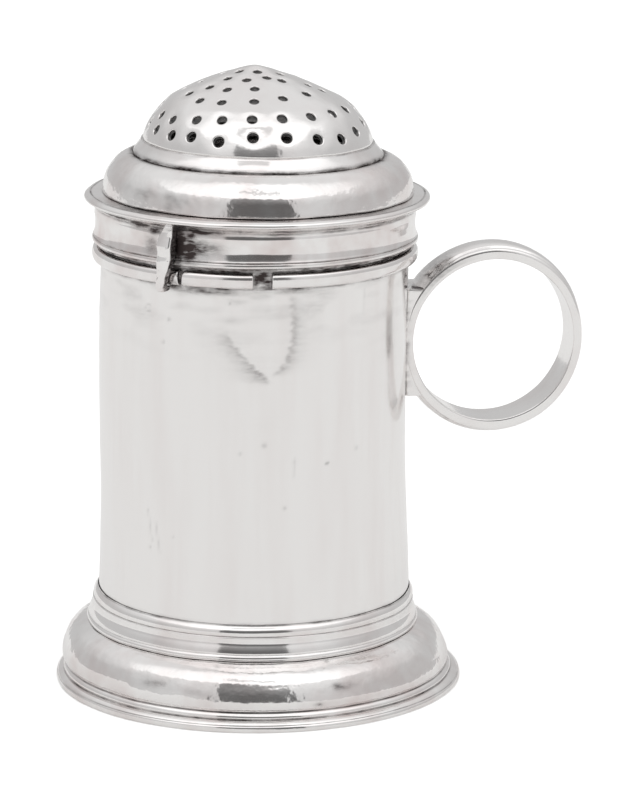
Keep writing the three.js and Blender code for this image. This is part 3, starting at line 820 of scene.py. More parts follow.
class DREDGER_OT_rails(bpy.types.Operator):
    """Make the three lengths of half-round wire that the hooks turn in under"""

    bl_idname = "dredger.rails"
    bl_label = "Rails"

    def execute(self, context):
        size = millimetres()
        inner = size["drum_radius"] + 0.1
        deep = 1.15
        middle = (size["rail_base"] + size["rail_top"]) / 2
        half = (size["rail_top"] - size["rail_base"]) / 2
        notch = math.degrees(size["notch_width"] / 2 / (inner + deep))
        seam = math.degrees(size["seam_width"] / 2 / (inner + deep))
        spans = {
            "rail_front": ("front_rail_wire", SAW_CUT + seam, FRONT_NOTCH - notch, -0.4, 0),
            "rail_right": ("right_rail_wire", FRONT_NOTCH + notch, REAR_NOTCH - notch, 0, 0),
            "rail_left": ("left_rail_wire", REAR_NOTCH + notch, SAW_CUT + 360 - seam, 0, 0.4),
        }
        # The section: a half superellipse on a straight back
        power = 2.8
        t = np.linspace(-math.pi / 2, math.pi / 2, 31)
        front_r = inner + deep * np.abs(np.cos(t)) ** (2 / power)
        front_z = middle + half * np.sign(t) * np.abs(np.sin(t)) ** (2 / power)
        back_z = np.linspace(middle + half, middle - half, 7)[1:-1]
        section_r = np.concatenate([front_r, inner + 0 * back_z])
        section_z = np.concatenate([front_z, back_z])
        material = silver_called("drawn_sterling_wire")
        for node, (name, start, end, start_slant, end_slant) in spans.items():
            count = int((end - start) / 0.8) + 8
            angle = np.radians(np.linspace(start, end, count))
            # Each end has two more rows close to it, and is filed a little smaller
            tip = np.radians([0.0, 0.1, 0.35])
            angle = np.concatenate([angle[0] + tip, angle[1:-1], angle[-1] - tip[::-1]])
            shrink = np.ones(len(angle))
            shrink[:2] = shrink[-2:][::-1] = (0.86, 0.96)
            mid_r = inner + deep / 2
            r = mid_r + (section_r - mid_r) * shrink[:, None]
            z = middle + (section_z - middle) * shrink[:, None]
            # The saw cut narrows downwards, because the ends beside it slant
            side_width = 0.02
            low_share = (size["rail_top"] - z) / (2 * half)
            near_start = np.clip(1 - (angle - angle[0]) / side_width, 0, 1)[:, None]
            near_end = np.clip(1 - (angle[-1] - angle) / side_width, 0, 1)[:, None]
            slant = np.radians(start_slant * near_start + end_slant * near_end) * low_share
            turn = angle[:, None] + slant
            loops = np.stack([r * np.cos(turn), r * np.sin(turn), z], -1)
            points, faces = capped(loops)
            radius = np.hypot(points[:, 0], points[:, 1])
            edge = np.abs(points[:, 2] - middle) / half
            dirt_and_shade = 0.8 * np.clip((edge - 0.88) / 0.12, 0, 1) * np.clip((inner + 0.6 - radius) / 0.5, 0, 1)
            # Solder and painted shade on both cut ends, and solder beside the hook
            columns = len(section_r)
            for end_row in (slice(0, columns), slice(-2 - columns, None)):
                dirt_and_shade[end_row] = np.maximum(dirt_and_shade[end_row], 0.85)
            inward = slice(columns * 2, -2 - columns * 2)
            beside_hook = smudge(points[inward], -127.0, size["rail_base"] + 0.4, 3.0, 0.5, 0.5)
            dirt_and_shade[inward] = np.maximum(dirt_and_shade[inward], beside_hook)
            put_in_place(name, points, faces, material, "dredger_body", node, dirt_and_shade,
                         points[:, 2])
        return {"FINISHED"}


# The strap's section from its middle to its edge: places across it, for a half width of 3.4, and
# how far it lies under the crown there. It is a crowned band with a groove beside a round bead.
STRAP_HALF = 3.4
STRAP_GROOVE = 2.52
STRAP_SECTION = np.array([
    (0, 0), (0.6, 0.01), (1.2, 0.05), (1.7, 0.12), (2.02, 0.2), (2.2, 0.3), (2.4, 0.55), (2.52, 0.66),
    (2.62, 0.6), (2.75, 0.47), (2.95, 0.42), (3.12, 0.46), (3.27, 0.56), (3.36, 0.68), (3.4, 0.78),
])


def strap_outside(y, size):
    """Distance from the ring's middle to the strap's outside at place y across it."""
    half = size["strap_width"] / 2
    crown = size["ring_bore"] / 2 + size["strap_thickness"]
    return crown - np.interp(np.abs(y), STRAP_SECTION[:, 0] * half / STRAP_HALF, STRAP_SECTION[:, 1])


# How deep strap and wedges reach into the drum's skin, where solder holds them
SOLDERED = 0.03


def ring_centre(size):
    """How far the finger ring's middle is from the drum's axis: the drum's radius without the seat
    filed into the strap, plus the strap and half the bore, less 0.15 mm of solder."""
    return size["drum_radius"] - size["seat_depth"] - 0.15 + size["ring_bore"] / 2 + size["strap_thickness"]


class DREDGER_OT_finger_ring(bpy.types.Operator):
    """Make the finger ring: a banded strap bent round, and filed to hug the drum"""

    bl_idname = "dredger.finger_ring"
    bl_label = "Finger ring"

    def execute(self, context):
        size = millimetres()
        inside = size["ring_bore"] / 2
        half = size["strap_width"] / 2
        across = np.concatenate([np.linspace(-half, -2.0, 26), np.linspace(-2.0, 2.0, 34)[1:-1],
                                 np.linspace(2.0, half, 26)])
        outer = np.stack([strap_outside(across, size), across, 0 * across], -1)
        section = np.vstack([
            corner(inside, half, 0.22),
            corner(inside, 0),
            corner(inside, -half, 0.22),
            outer,
        ])
        section = rounded(section, 0.14)
        steps = 320
        turn = np.arange(steps) * (2 * math.pi / steps)
        centre = ring_centre(size)
        reach_out, y = section[:, :1], section[:, 1:2]
        # The strap is 0.4 mm thicker above and below, where it was bent least
        thicker = 0.4
        share = np.clip((reach_out - inside) / size["strap_thickness"], 0, 1)
        reach_out = reach_out + thicker * share * np.sin(turn) ** 2
        x = centre + reach_out * np.cos(turn)
        z = size["ring_level"] + reach_out * np.sin(turn)
        y = y + 0 * turn
        # Filed to the drum: whatever would lie inside it is moved out along X to its skin
        skin = size["drum_radius"] - SOLDERED
        filed = np.sqrt(skin**2 - y**2)
        x = np.maximum(x, filed)
        points = np.stack([x, y, z], -1).reshape(-1, 3)

        def about(middle, spread):
            """A bell of the angle round the ring, in degrees from its outermost place."""
            return np.exp(-(((np.degrees(turn) - middle) / spread) ** 2))

        # Dirt in the grooves at the ring's upper left and lower right, and a shade where it meets
        # the drum above
        outside = section[:, 0] > inside + 0.4
        groove = np.exp(-((np.abs(section[:, 1]) - STRAP_GROOVE * half / STRAP_HALF) / 0.1) ** 2) * outside
        worn = 0.06 + 0.6 * about(130, 26) + 0.5 * about(315, 24)
        dirt_and_shade = (groove[:, None] * worn).ravel()
        dirt_and_shade = np.maximum(dirt_and_shade, 0.36 * (outside[:, None] * about(128, 16)).ravel())
        near = np.hypot(points[:, 0], points[:, 1]) - skin
        mottled = mottle(points, 62, (0.3, 0.08), (0.6, 2.5), (0.05, 0.7), 20)
        dirt_and_shade = np.maximum(dirt_and_shade, mottled * np.exp(-(np.clip(near, 0, 9) / 0.5) ** 2))
        along = np.repeat(run_of(section), steps)
        faces = [wrapped_faces(len(section), steps, True)]
        put_in_place("finger_ring_strap", points, faces, silver_called("drawn_sterling_strap"),
                     "dredger_body", "handle_ring", dirt_and_shade, along)
        return {"FINISHED"}


class DREDGER_OT_wedges(bpy.types.Operator):
    """Make the two wedges that fill in between drum and strap"""

    bl_idname = "dredger.wedges"
    bl_label = "Wedges"

    def execute(self, context):
        size = millimetres()
        centre = ring_centre(size)
        p, q = squircle(64, 9)
        y = q * (size["strap_width"] / 2 - 0.02)
        drum_side = np.sqrt((size["drum_radius"] - SOLDERED) ** 2 - y**2)
        material = silver_called("drawn_sterling_strap")
        for side, name, node in ((1, "upper_wedge", "upper_gusset"), (-1, "lower_wedge", "lower_gusset")):
            # Levels away from the ring's middle, closer together at the tip, which is filed round
            rise = np.concatenate([np.linspace(1.0, 7.8, 34), [7.88, 7.93, 7.95]])[:, None]
            shrink = np.concatenate([np.ones(34), [0.985, 0.95, 0.9]])[:, None]
            strap_side = centre - np.sqrt((strap_outside(y, size) - 0.1) ** 2 - rise**2)
            strap_side = np.maximum(strap_side, drum_side + 0.02)
            middle = (drum_side + strap_side) / 2
            x = middle + (strap_side - drum_side) / 2 * p * shrink
            loops = np.stack([x, y * shrink, size["ring_level"] + side * rise + 0 * x], -1)
            points, faces = capped(loops)
            from_drum = np.hypot(points[:, 0], points[:, 1]) - size["drum_radius"]
            pits = mottle(points, 61, (0.6, 0.25), (0.5, 1.6), (0, 1.3), 20)
            dirt_and_shade = 0.35 * pits * np.exp(-((from_drum / 0.4) ** 2))
            # Solder and painted shade in the V between drum and strap, at the upper wedge's tip
            if side > 0:
                near_tip = np.clip((points[:, 2] - size["ring_level"] - 7.4) / 0.5, 0, 1)
                dirt_and_shade = np.maximum(dirt_and_shade, 0.9 * pits * near_tip)
            put_in_place(name, points, faces, material, "dredger_body", node, dirt_and_shade,
                         points[:, 2])
        return {"FINISHED"}


# Grey solder beside each hook and the streaks that wiping drew out of it, with the hook's painted shadow on
# the skirt and painted shade under the flange's lip: angle, height, spread, height of the bell and darkness
SOLDER_AND_SHADE = [
    (-126.0, 67.8, 2.6, 2.6, 1.9), (-122.5, 67.4, 3.2, 1.9, 1.7), (-118.5, 67.6, 4.0, 1.1, 1.1),
    (-114.5, 67.6, 4.5, 0.8, 0.7), (-119.0, 69.95, 9.0, 0.5, 1.4), (-122.0, 69.4, 2.5, 0.7, 1.1),
    (-136.5, 69.5, 2.6, 0.55, 1.5), (-143.0, 70.1, 5.0, 0.55, 1.6), (-155.0, 70.6, 9.0, 0.5, 1.5),
    (-138.0, 67.3, 3.0, 1.3, 0.65), (-120.0, 65.85, 6.0, 0.35, 0.8), (-106.0, 70.35, 9.0, 0.3, 0.65),
    (-104.4, 70.35, 1.0, 0.3, 1.0), (-128.0, 64.9, 2.0, 0.5, 0.9), (-146.0, 71.9, 16.0, 0.3, 0.9),
    (-62.0, 71.9, 18.0, 0.22, 0.6),
]


def hook_solder_and_shade(points):
    """Dirt of the solder beside both hooks on the skirt, with the hooks' painted shadow there and painted
    shade in the hollow under the flange.
    """
    patches = [(turn + at, *bell) for turn in (0, 180) for at, *bell in SOLDER_AND_SHADE]
    return smudged(points, patches) * (np.hypot(points[:, 0], points[:, 1]) < 24.25)


# Outlines of the cover's pieces, in millimetres out from the outside that each operator gives,
# and up from the piece's lower edge
SKIRT_SIDE = [
    (-0.05, 0.1), (-0.02, 1.0), (0.24, 1.14), (0.14, 1.3), (0.06, 1.5), (0.0, 1.75), (-0.06, 2.1),
    (-0.09, 2.4), (-0.1, 2.9), (-0.08, 3.5), (-0.02, 3.9), (0.03, 4.15), (0.02, 4.4), (-0.03, 4.75),
]
SKIRT_REEDS = [(0.08, 0.3), (0.24, 0.42), (0.3, 0.6), (0.28, 0.78), (0.2, 0.95), (0.12, 1.03)]
FLANGE_HOLLOW = [
    (-1.64, 0.03), (-1.46, 0.16), (-1.2, 0.42), (-0.86, 0.64), (-0.5, 0.84), (-0.36, 0.98),
]
FLANGE_LIP = [
    (-0.3, 1.0), (-0.1, 1.08), (0, 1.26), (-0.03, 1.44), (-0.16, 1.62), (-0.36, 1.76), (-0.6, 1.85),
    (-0.78, 1.86),
]
FLANGE_TOP = [(-0.94, 1.86), (-1.5, 1.88), (-2.1, 1.9), (-2.5, 1.93)]
SHOULDER_SWELL = [
    (0.20, 0.06), (0.18, 0.3), (0.12, 0.7), (0.02, 1.3), (-0.14, 2.0), (-0.38, 2.65), (-0.74, 3.25),
    (-1.2, 3.85), (-1.82, 4.5), (-2.55, 5.0), (-3.2, 5.28),
]
COLLET_SIDE = [
    (-0.03, 0.08), (0.01, 0.26), (-0.1, 0.52), (-0.38, 0.86), (-0.72, 1.28), (-0.98, 1.64), (-1.18, 1.94),
]


class DREDGER_OT_skirt(bpy.types.Operator):
    """Make the cover's skirt and the reeded wire round its lower edge"""

    bl_idname = "dredger.skirt"
    bl_label = "Skirt"

    def execute(self, context):
        size = millimetres()
        material = silver_called("handled_sterling_band")
        bore = size["drum_radius"] + 0.25
        out = bore + 0.65
        low, high = size["skirt_base"], size["flange_base"]
        skirt = np.vstack([
            corner(bore, low, 0.1),
            corner(out - 0.05, low, 0.08),
            through([*SKIRT_SIDE, (-0.05, high - 0.05 - low)], 0.12, (out, low)),
            corner(out - 0.05, high, 0.03),
            corner(bore, high, 0.05),
        ])
        put_turned("skirt_band", skirt, material, "cover", "cover_skirt", 0.15, hook_solder_and_shade)

        inner = out + 0.05
        reeds = np.vstack([
            corner(inner, low + 0.26, 0.03),
            through(SKIRT_REEDS, 0.06, (inner, low)),
            corner(inner, low + 1.06, 0.03),
        ])
        put_turned("skirt_reeds", reeds, material, "cover", "skirt_bead", 0.12, hook_solder_and_shade)
        return {"FINISHED"}


class DREDGER_OT_flange(bpy.types.Operator):
    """Make the flange: a hollow below, a round lip, and a dished top"""

    bl_idname = "dredger.flange"
    bl_label = "Flange"

    def execute(self, context):
        size = millimetres()
        out = size["drum_radius"] + 2.65
        low, high = size["flange_base"], size["shoulder_base"]
        flange = np.vstack([
            corner(out - 3.4, low, 0.1),
            corner(out - 1.7, low, 0.02),
            through(FLANGE_HOLLOW, 0.1, (out, low)),
            through(FLANGE_LIP, 0.07, (out, low)),
            corner(out - 0.86, low + 1.82),
            through(FLANGE_TOP, 0.15, (out, low)),
            corner(out - 2.72, high, 0.02),
            corner(out - 3.4, high, 0.1),
        ])
        material = silver_called("turned_sterling_moulding")
        put_turned("flange_ring", flange, material, "cover", "cover_flange", 0.12,
                   hook_solder_and_shade)
        return {"FINISHED"}


class DREDGER_OT_shoulder(bpy.types.Operator):
    """Make the swelling shoulder, which dips to meet the collet"""

    bl_idname = "dredger.shoulder"
    bl_label = "Shoulder"

    def execute(self, context):
        size = millimetres()
        foot = size["drum_radius"]
        wall = size["sheet"]
        inner = size["dome_radius"] - wall
        collet = size["dome_radius"] + 1.4
        low, high = size["shoulder_base"], size["collet_base"]
        dip = [(collet + 0.3 - foot, 5.44), (collet + 0.1 - foot, high + 0.1 - low)]
        outline = np.vstack([
            corner(foot - 0.05, low, 0.02),
            through([*SHOULDER_SWELL, *dip], 0.16, (foot, low)),
            corner(collet, high, 0.02),
            corner(inner, high, 0.03),
            corner(inner, high - wall, 0.03),
            swell((foot - wall, low), (collet + 0.55 - wall, high - wall), 1.95, 24)[::-1],
        ])

        def dark_patches(points):
            """Grey mottling low on the shoulder's left."""
            low_band = smudge(points, -138.0, low + 1.6, 16.0, 1.3, 0.34)
            return low_band * mottle(points, 52, (0.5, 0.16), (1, 4), (0, 1.6))

        material = silver_called("raised_sterling_shell")
        put_turned("shoulder_shell", outline, material, "cover", "cover_shoulder", 0.2,
                   dark_patches)
        return {"FINISHED"}


class DREDGER_OT_collet(bpy.types.Operator):
    """Make the collet: the sloping band that carries the dome"""

    bl_idname = "dredger.collet"
    bl_label = "Collet"

    def execute(self, context):
        size = millimetres()
        inner = size["dome_radius"] - size["sheet"]
        out = size["dome_radius"] + 1.4
        low, high = size["collet_base"], size["dome_base"]
        outline = np.vstack([
            corner(inner, low, 0.03),
            corner(out - 0.06, low, 0.02),
            through([*COLLET_SIDE, (-1.24, high - 0.05 - low)], 0.12, (out, low)),
            corner(size["dome_radius"] + 0.06, high, 0.02),
            corner(inner, high, 0.03),
        ])
        material = silver_called("turned_sterling_moulding")
        put_turned("collet_ring", outline, material, "cover", "dome_collet", 0.12)
        return {"FINISHED"}


# The dome's curve from its crown to its foot, as shares of its radius and of its height
DOME_CURVE = [
    (-0.07, 0.983), (-0.03, 0.996), (0, 1), (0.03, 0.996), (0.07, 0.983), (0.143, 0.951), (0.22, 0.912),
    (0.302, 0.875), (0.385, 0.828), (0.469, 0.775), (0.58, 0.698), (0.684, 0.622), (0.75, 0.562),
    (0.808, 0.488), (0.85, 0.425), (0.885, 0.358), (0.92, 0.283), (0.95, 0.205), (0.975, 0.12), (1, 0),
]

# The dome's holes, ring by ring: share of the dome's radius, bore in millimetres, how many are
# spread evenly round the back, and the angle and own share of each one over the front
HOLE_RINGS = [
    (0.941, 1.6, 11, [
        (-67.3, 0.949), (-50.8, 0.952), (-36.8, 0.945), (-20.5, 0.954), (-2.6, 0.927),
        (15.5, 0.929), (33.1, 0.944), (48.8, 0.955), (64.5, 0.938), (81.7, 0.917),
    ]),
    (0.83, 1.45, 10, [
        (-72.9, 0.872), (-56.4, 0.876), (-37.7, 0.852), (-21.5, 0.833), (-3.3, 0.814),
        (15.1, 0.81), (35, 0.807), (53.3, 0.806), (71.5, 0.801),
    ]),
    (0.615, 1.35, 7, [
        (-66.4, 0.629), (-46.3, 0.672), (-26.8, 0.66), (-1.6, 0.626), (23.3, 0.585), (50.7, 0.563),
        (81.4, 0.573),
    ]),
    (0.465, 1.3, 7, [(-54.9, 0.484), (-30.9, 0.478), (-1, 0.445), (43, 0.333)]),
    (0.28, 1.3, 4, [(-50.3, 0.313), (-14.6, 0.305), (22.2, 0.26), (71.2, 0.227)]),
    (0.12, 1.3, 1, [(-59.9, 0.164), (7.1, 0.143)]),
]


# The net of the dome, in millimetres: distance of its rings and of the points in one, then how far
# the rings round a hole lie from its edge and how far its edge is rounded down on each, and how
# far from the edge the other points begin
NET_ROWS = 0.34
NET_STEPS = 0.36
RIM_STEPS = np.array([0.0, 0.03, 0.08, 0.16, 0.28, 0.42, 0.58])
RIM_DROPS = np.array([-0.16, -0.07, -0.02, 0, 0, 0, 0])
RIM_CLEAR = 0.72


def punched_holes(dome_radius):
    """Radius, angle and bore of every hole, as three arrays."""
    rows = []
    for share, bore, spread, front in HOLE_RINGS:
        angles, shares = np.array(front).T
        pitch = (angles[0] + 360 - angles[-1]) / (spread + 1)
        angles = np.concatenate([angles, angles[-1] + pitch * np.arange(1, spread + 1)])
        shares = np.concatenate([shares, np.full(spread, share)])
        turns = np.radians(angles) + TO_CAMERA
        rows.append(np.column_stack([shares * dome_radius, turns, 0 * angles + bore]))
    return np.vstack(rows).T


class DREDGER_OT_dome(bpy.types.Operator):
    """Make the pierced dome: a shell with punched holes, dished round each of them.

    Its height follows the measured curve through DOME_CURVE. The mesh is laid out flat, as far from
    the middle as each place is from the crown along the curve, with rings of points round each
    hole, and joined by a Delaunay net that leaves the holes out."""

    bl_idname = "dredger.dome"
    bl_label = "Dome"

    def execute(self, context):
        size = millimetres()
        radius = size["dome_radius"]
        tall = size["dome_top"] - size["dome_base"]
        dishing = context.scene.dredger_wear.dishing / MM

        # The curve, by the distance along it from the crown
        curve = through(np.array(DOME_CURVE) * [radius, tall], 0.02)
        curve = curve[curve[:, 0] > 0]
        curve_r = np.concatenate([[0], curve[:, 0]])
        curve_z = size["dome_base"] + np.concatenate([[tall], curve[:, 1]])
        curve_s = run_of(np.stack([curve_r, curve_z], -1))
        slope = np.gradient(np.stack([curve_r, curve_z], -1), curve_s, axis=0)
        whole = curve_s[-1]

        # Points of the net: rings all over, and rings round each hole
        rows = np.linspace(0, whole, int(whole / NET_ROWS))
        around_axis = 2 * math.pi * np.interp(rows, curve_s, curve_r)
        counts = np.maximum(1, np.round(around_axis / NET_STEPS)).astype(int)
        counts[-1] = size["segments"]
        row = np.repeat(np.arange(len(rows)), counts)
        step = np.arange(counts.sum()) - np.repeat(np.cumsum(counts) - counts, counts)
        angle = (step + 0.5 * (row % 2)) / counts[row] * 2 * math.pi
        plain = rows[row, None] * np.stack([np.cos(angle), np.sin(angle)], -1)

        hole_r, hole_a, bore = punched_holes(radius)
        hole_s = np.interp(hole_r, curve_r, curve_s)
        centre = hole_s[:, None] * np.stack([np.cos(hole_a), np.sin(hole_a)], -1)
        out = np.stack([np.cos(hole_a), np.sin(hole_a)], -1)
        aside = np.stack([-np.sin(hole_a), np.cos(hole_a)], -1)
        spread = hole_s / hole_r
        around = np.arange(24) * (2 * math.pi / 24)
        far = bore[:, None, None] / 2 + RIM_STEPS[None, :, None] + 0 * around
        rings = centre[:, None, None] + far[..., None] * (
            np.cos(around)[:, None] * out[:, None, None]
            + np.sin(around)[:, None] * (spread[:, None] * aside)[:, None, None]
        )

        def from_holes(flat):
            """Distance from each place on the net to every hole's middle, measured on the dome."""
            gap = flat[:, None] - centre[None]
            return np.hypot((gap * out).sum(-1), (gap * aside).sum(-1) / spread)

        clear = (from_holes(plain) - bore / 2).min(axis=1) > RIM_CLEAR
        clear |= row == len(rows) - 1
        plain, row = plain[clear], row[clear]
        flat = np.vstack([rings.reshape(-1, 2), plain])
        ring_count = rings.shape[0] * rings.shape[1] * rings.shape[2]
        rim_of = np.full(len(flat), -1)
        index = np.arange(ring_count).reshape(rings.shape[:3])
        rim_of[index[:, 0]] = np.arange(len(bore))[:, None]

        net = delaunay_2d_cdt([Vector(place) for place in flat.tolist()], [], [], 0, 1e-7)
        origin = np.array([found[0] for found in net[3]])
        if len(origin) != len(flat):
            raise RuntimeError("two points of the dome's net fell together")
        triangles = origin[np.array(net[2])]
        rims = rim_of[triangles]
        inside = (rims[:, 0] >= 0) & (rims[:, 0] == rims[:, 1]) & (rims[:, 0] == rims[:, 2])
        triangles = triangles[~inside]

        # Lift the net on to the dome
        run = np.hypot(*flat.T)
        turn = np.arctan2(flat[:, 1], flat[:, 0])
        r = np.interp(run, curve_s, curve_r)
        z = np.interp(run, curve_s, curve_z)
        normal_r = -np.interp(run, curve_s, slope[:, 1])
        normal_z = np.interp(run, curve_s, slope[:, 0])
        gaps = from_holes(flat) - bore / 2
        dish = -dishing * np.exp(-((np.clip(gaps.min(axis=1), 0, 9) / 0.7) ** 2))
        edge = np.zeros(len(flat))
        edge[index] = RIM_DROPS[None, :, None]
        high = dish + edge
        deep = -size["sheet"] + 0.6 * dish

        def raised(lift):
            """The net's points, lifted from the curve along its normal."""
            far = r + normal_r * lift
            return np.stack([far * np.cos(turn), far * np.sin(turn), z + normal_z * lift], -1)


        # Walls: round each hole, and round the dome's foot
        total = len(flat)
        rim = index[:, 0]
        beside = np.roll(rim, -1, axis=1)
        hole_walls = np.stack([rim, beside, beside + total, rim + total], -1).reshape(-1, 4)
        foot = ring_count + np.flatnonzero(row == len(rows) - 1)
        foot_next = np.roll(foot, -1)
        foot_wall = np.stack([foot_next, foot, foot + total, foot_next + total], -1)
        a, b, c = (flat[triangles[:, i]] for i in (0, 1, 2))
        spin = np.cross(b - a, c - a)
        triangles = np.where((spin > 0)[:, None], triangles, triangles[:, ::-1])
        skins = np.vstack([triangles, triangles[:, ::-1] + total])
        points = np.vstack([raised(high), raised(deep)])

        dirt_and_shade = np.where(edge < -0.1, 0.22, 0.06 * np.exp(-((np.clip(gaps.min(axis=1), 0, 9) / 0.2) ** 2)))
        dirt_and_shade = np.maximum(dirt_and_shade, crease_sulphide_and_shade(r, z))
        dirt_and_shade = np.concatenate([dirt_and_shade, np.full(total, 0.05)])
        along = np.concatenate([run, run])
        dome = put_in_place("dome_shell", points, [np.vstack([hole_walls, foot_wall]), skins],
                            silver_called("pierced_sterling_dome"), "cover", "pierced_dome",
                            dirt_and_shade, along)
        inside = dome.data.attributes.new("inside", "FLOAT", "POINT")
        inside.data.foreach_set("value", np.repeat(np.float32([0, 1]), total))
        return {"FINISHED"}


# The hook's rows from top to tip: level, inner and outer reach from the drum's axis, half width,
# and how far the middle lies to the side. Below the bead one side is filed away, down to a narrow
# tip.
HOOK_ROWS = np.array([
    (70.95, 24, 24.5, 0.34, 0.62), (70.9, 23.8, 24.62, 0.44, 0.62), (70.6, 23.4, 24.68, 0.58, 0.58),
    (70.2, 23.1, 24.68, 0.72, 0.48), (69.7, 23.1, 24.74, 0.88, 0.34), (69.2, 23.1, 24.82, 1.02, 0.2),
    (68.7, 23.1, 24.94, 1.11, 0.12), (68.3, 23.1, 25.02, 1.14, 0.1), (67.85, 23.1, 25.09, 1.14, 0.1),
    (67, 23.1, 25.07, 1.1, 0.1), (66, 23.1, 25.05, 1.06, 0.08), (65.9, 23.12, 25.05, 1.06, 0.08),
    (65.86, 23.62, 25.05, 1.06, 0.08), (65.4, 23.64, 25.05, 1, 0.04), (64.8, 23.66, 25.06, 0.92, -0.08),
    (64, 23.66, 25.08, 0.79, -0.22), (63, 23.66, 25.08, 0.67, -0.36), (62.2, 23.66, 25.04, 0.58, -0.46),
    (61.97, 23.64, 25.02, 0.56, -0.49), (61.93, 22.6, 25.01, 0.55, -0.49),
    (61.7, 22.55, 24.92, 0.52, -0.5), (61.5, 22.58, 24.8, 0.48, -0.5), (61.36, 22.68, 24.64, 0.42, -0.5),
    (61.3, 22.85, 24.46, 0.34, -0.5),
])


class DREDGER_OT_hooks(bpy.types.Operator):
    """Make the two hooks, each a stack of rounded rectangles from the flange to its tip"""

    bl_idname = "dredger.hooks"
    bl_label = "Hooks"

    def execute(self, context):
        t = run_of(HOOK_ROWS)
        fine = np.unique(np.concatenate([t, np.linspace(0, t[-1], 110)]))
        z, near, far, half, aside = (np.interp(fine, t, column)[:, None] for column in HOOK_ROWS.T)
        p, q = squircle(56, 5)
        x = (near + far) / 2 + (far - near) / 2 * p
        y = aside + half * q
        loops = np.stack([x, y, z + 0 * x], -1)
        points, faces = capped(loops)
        unfiled = points.copy()
        side = np.concatenate([(np.abs(q) + 0 * x).ravel(), [0, 0]])
        face = np.concatenate([(p + 0 * x).ravel(), [0, 0]])
        # File marks: shallow waves of the hook's outside, outwards and sideways
        for axis, seed, deep in ((0, 5, 0.02), (1, 6, 0.012)):
            points[:, axis] += deep * waves(unfiled, seed, 10, 0.9, 2.4) * (unfiled[:, 0] > 24.2)
        # A painted shadow of the flange's lip across the hook's top
        dirt_and_shade = 0.25 * np.exp(-(((points[:, 2] - 70.2) / 0.2) ** 2))
        # Tarnish and painted shade on the filed sides
        beside = np.clip((0.72 - face) / 0.3, 0, 1) * np.clip((side - 0.8) / 0.2, 0, 1)
        dirt_and_shade = np.maximum(dirt_and_shade, 0.9 * beside)
        dirt_and_shade = np.maximum(dirt_and_shade, 0.8 * np.clip((24.0 - points[:, 0]) / 0.5, 0, 1))
        pit = np.exp(-(((points[:, 1] - 0.1) / 0.17) ** 2) - ((points[:, 2] - 67.55) / 0.3) ** 2)
        dirt_and_shade = np.maximum(dirt_and_shade, pit * (face > 0.5))
        material = silver_called("filed_sterling_hook")
        places = (("front_catch", "front_hook", FRONT_HOOK), ("rear_catch", "rear_hook", REAR_HOOK))
        for name, node, turn in places:
            a = math.radians(turn)
            spin = np.array([[math.cos(a), -math.sin(a), 0], [math.sin(a), math.cos(a), 0], [0, 0, 1]])
            put_in_place(name, points @ spin.T, faces, material, "cover", node, dirt_and_shade,
                         points[:, 2])
        return {"FINISHED"}


# The room that the silver mirrors: brightness of the walls low down and high up, light that the
# panel above and the camera's side add, and the share that the card round the camera and a strip
# in the panel take away. Heights, turns and widths are in degrees.
WALLS = (0.57, 0.80)
PANEL_LIGHT = 0.37
PANEL_FOOT = 43
CAMERA_SIDE_LIGHT = 0.10
CARD_TURN = 2
CARD_HALF_WIDTH = 24
CARD_HEIGHTS = (-8, 42)
CARD_SHADES = (-0.78, -0.58)
STRIP_HEIGHTS = (58, 65)
STRIP_SHADE = -0.4


def sine(degrees):
    """Sine of an angle in degrees: how high a direction at that elevation points."""
    return math.sin(math.radians(degrees))


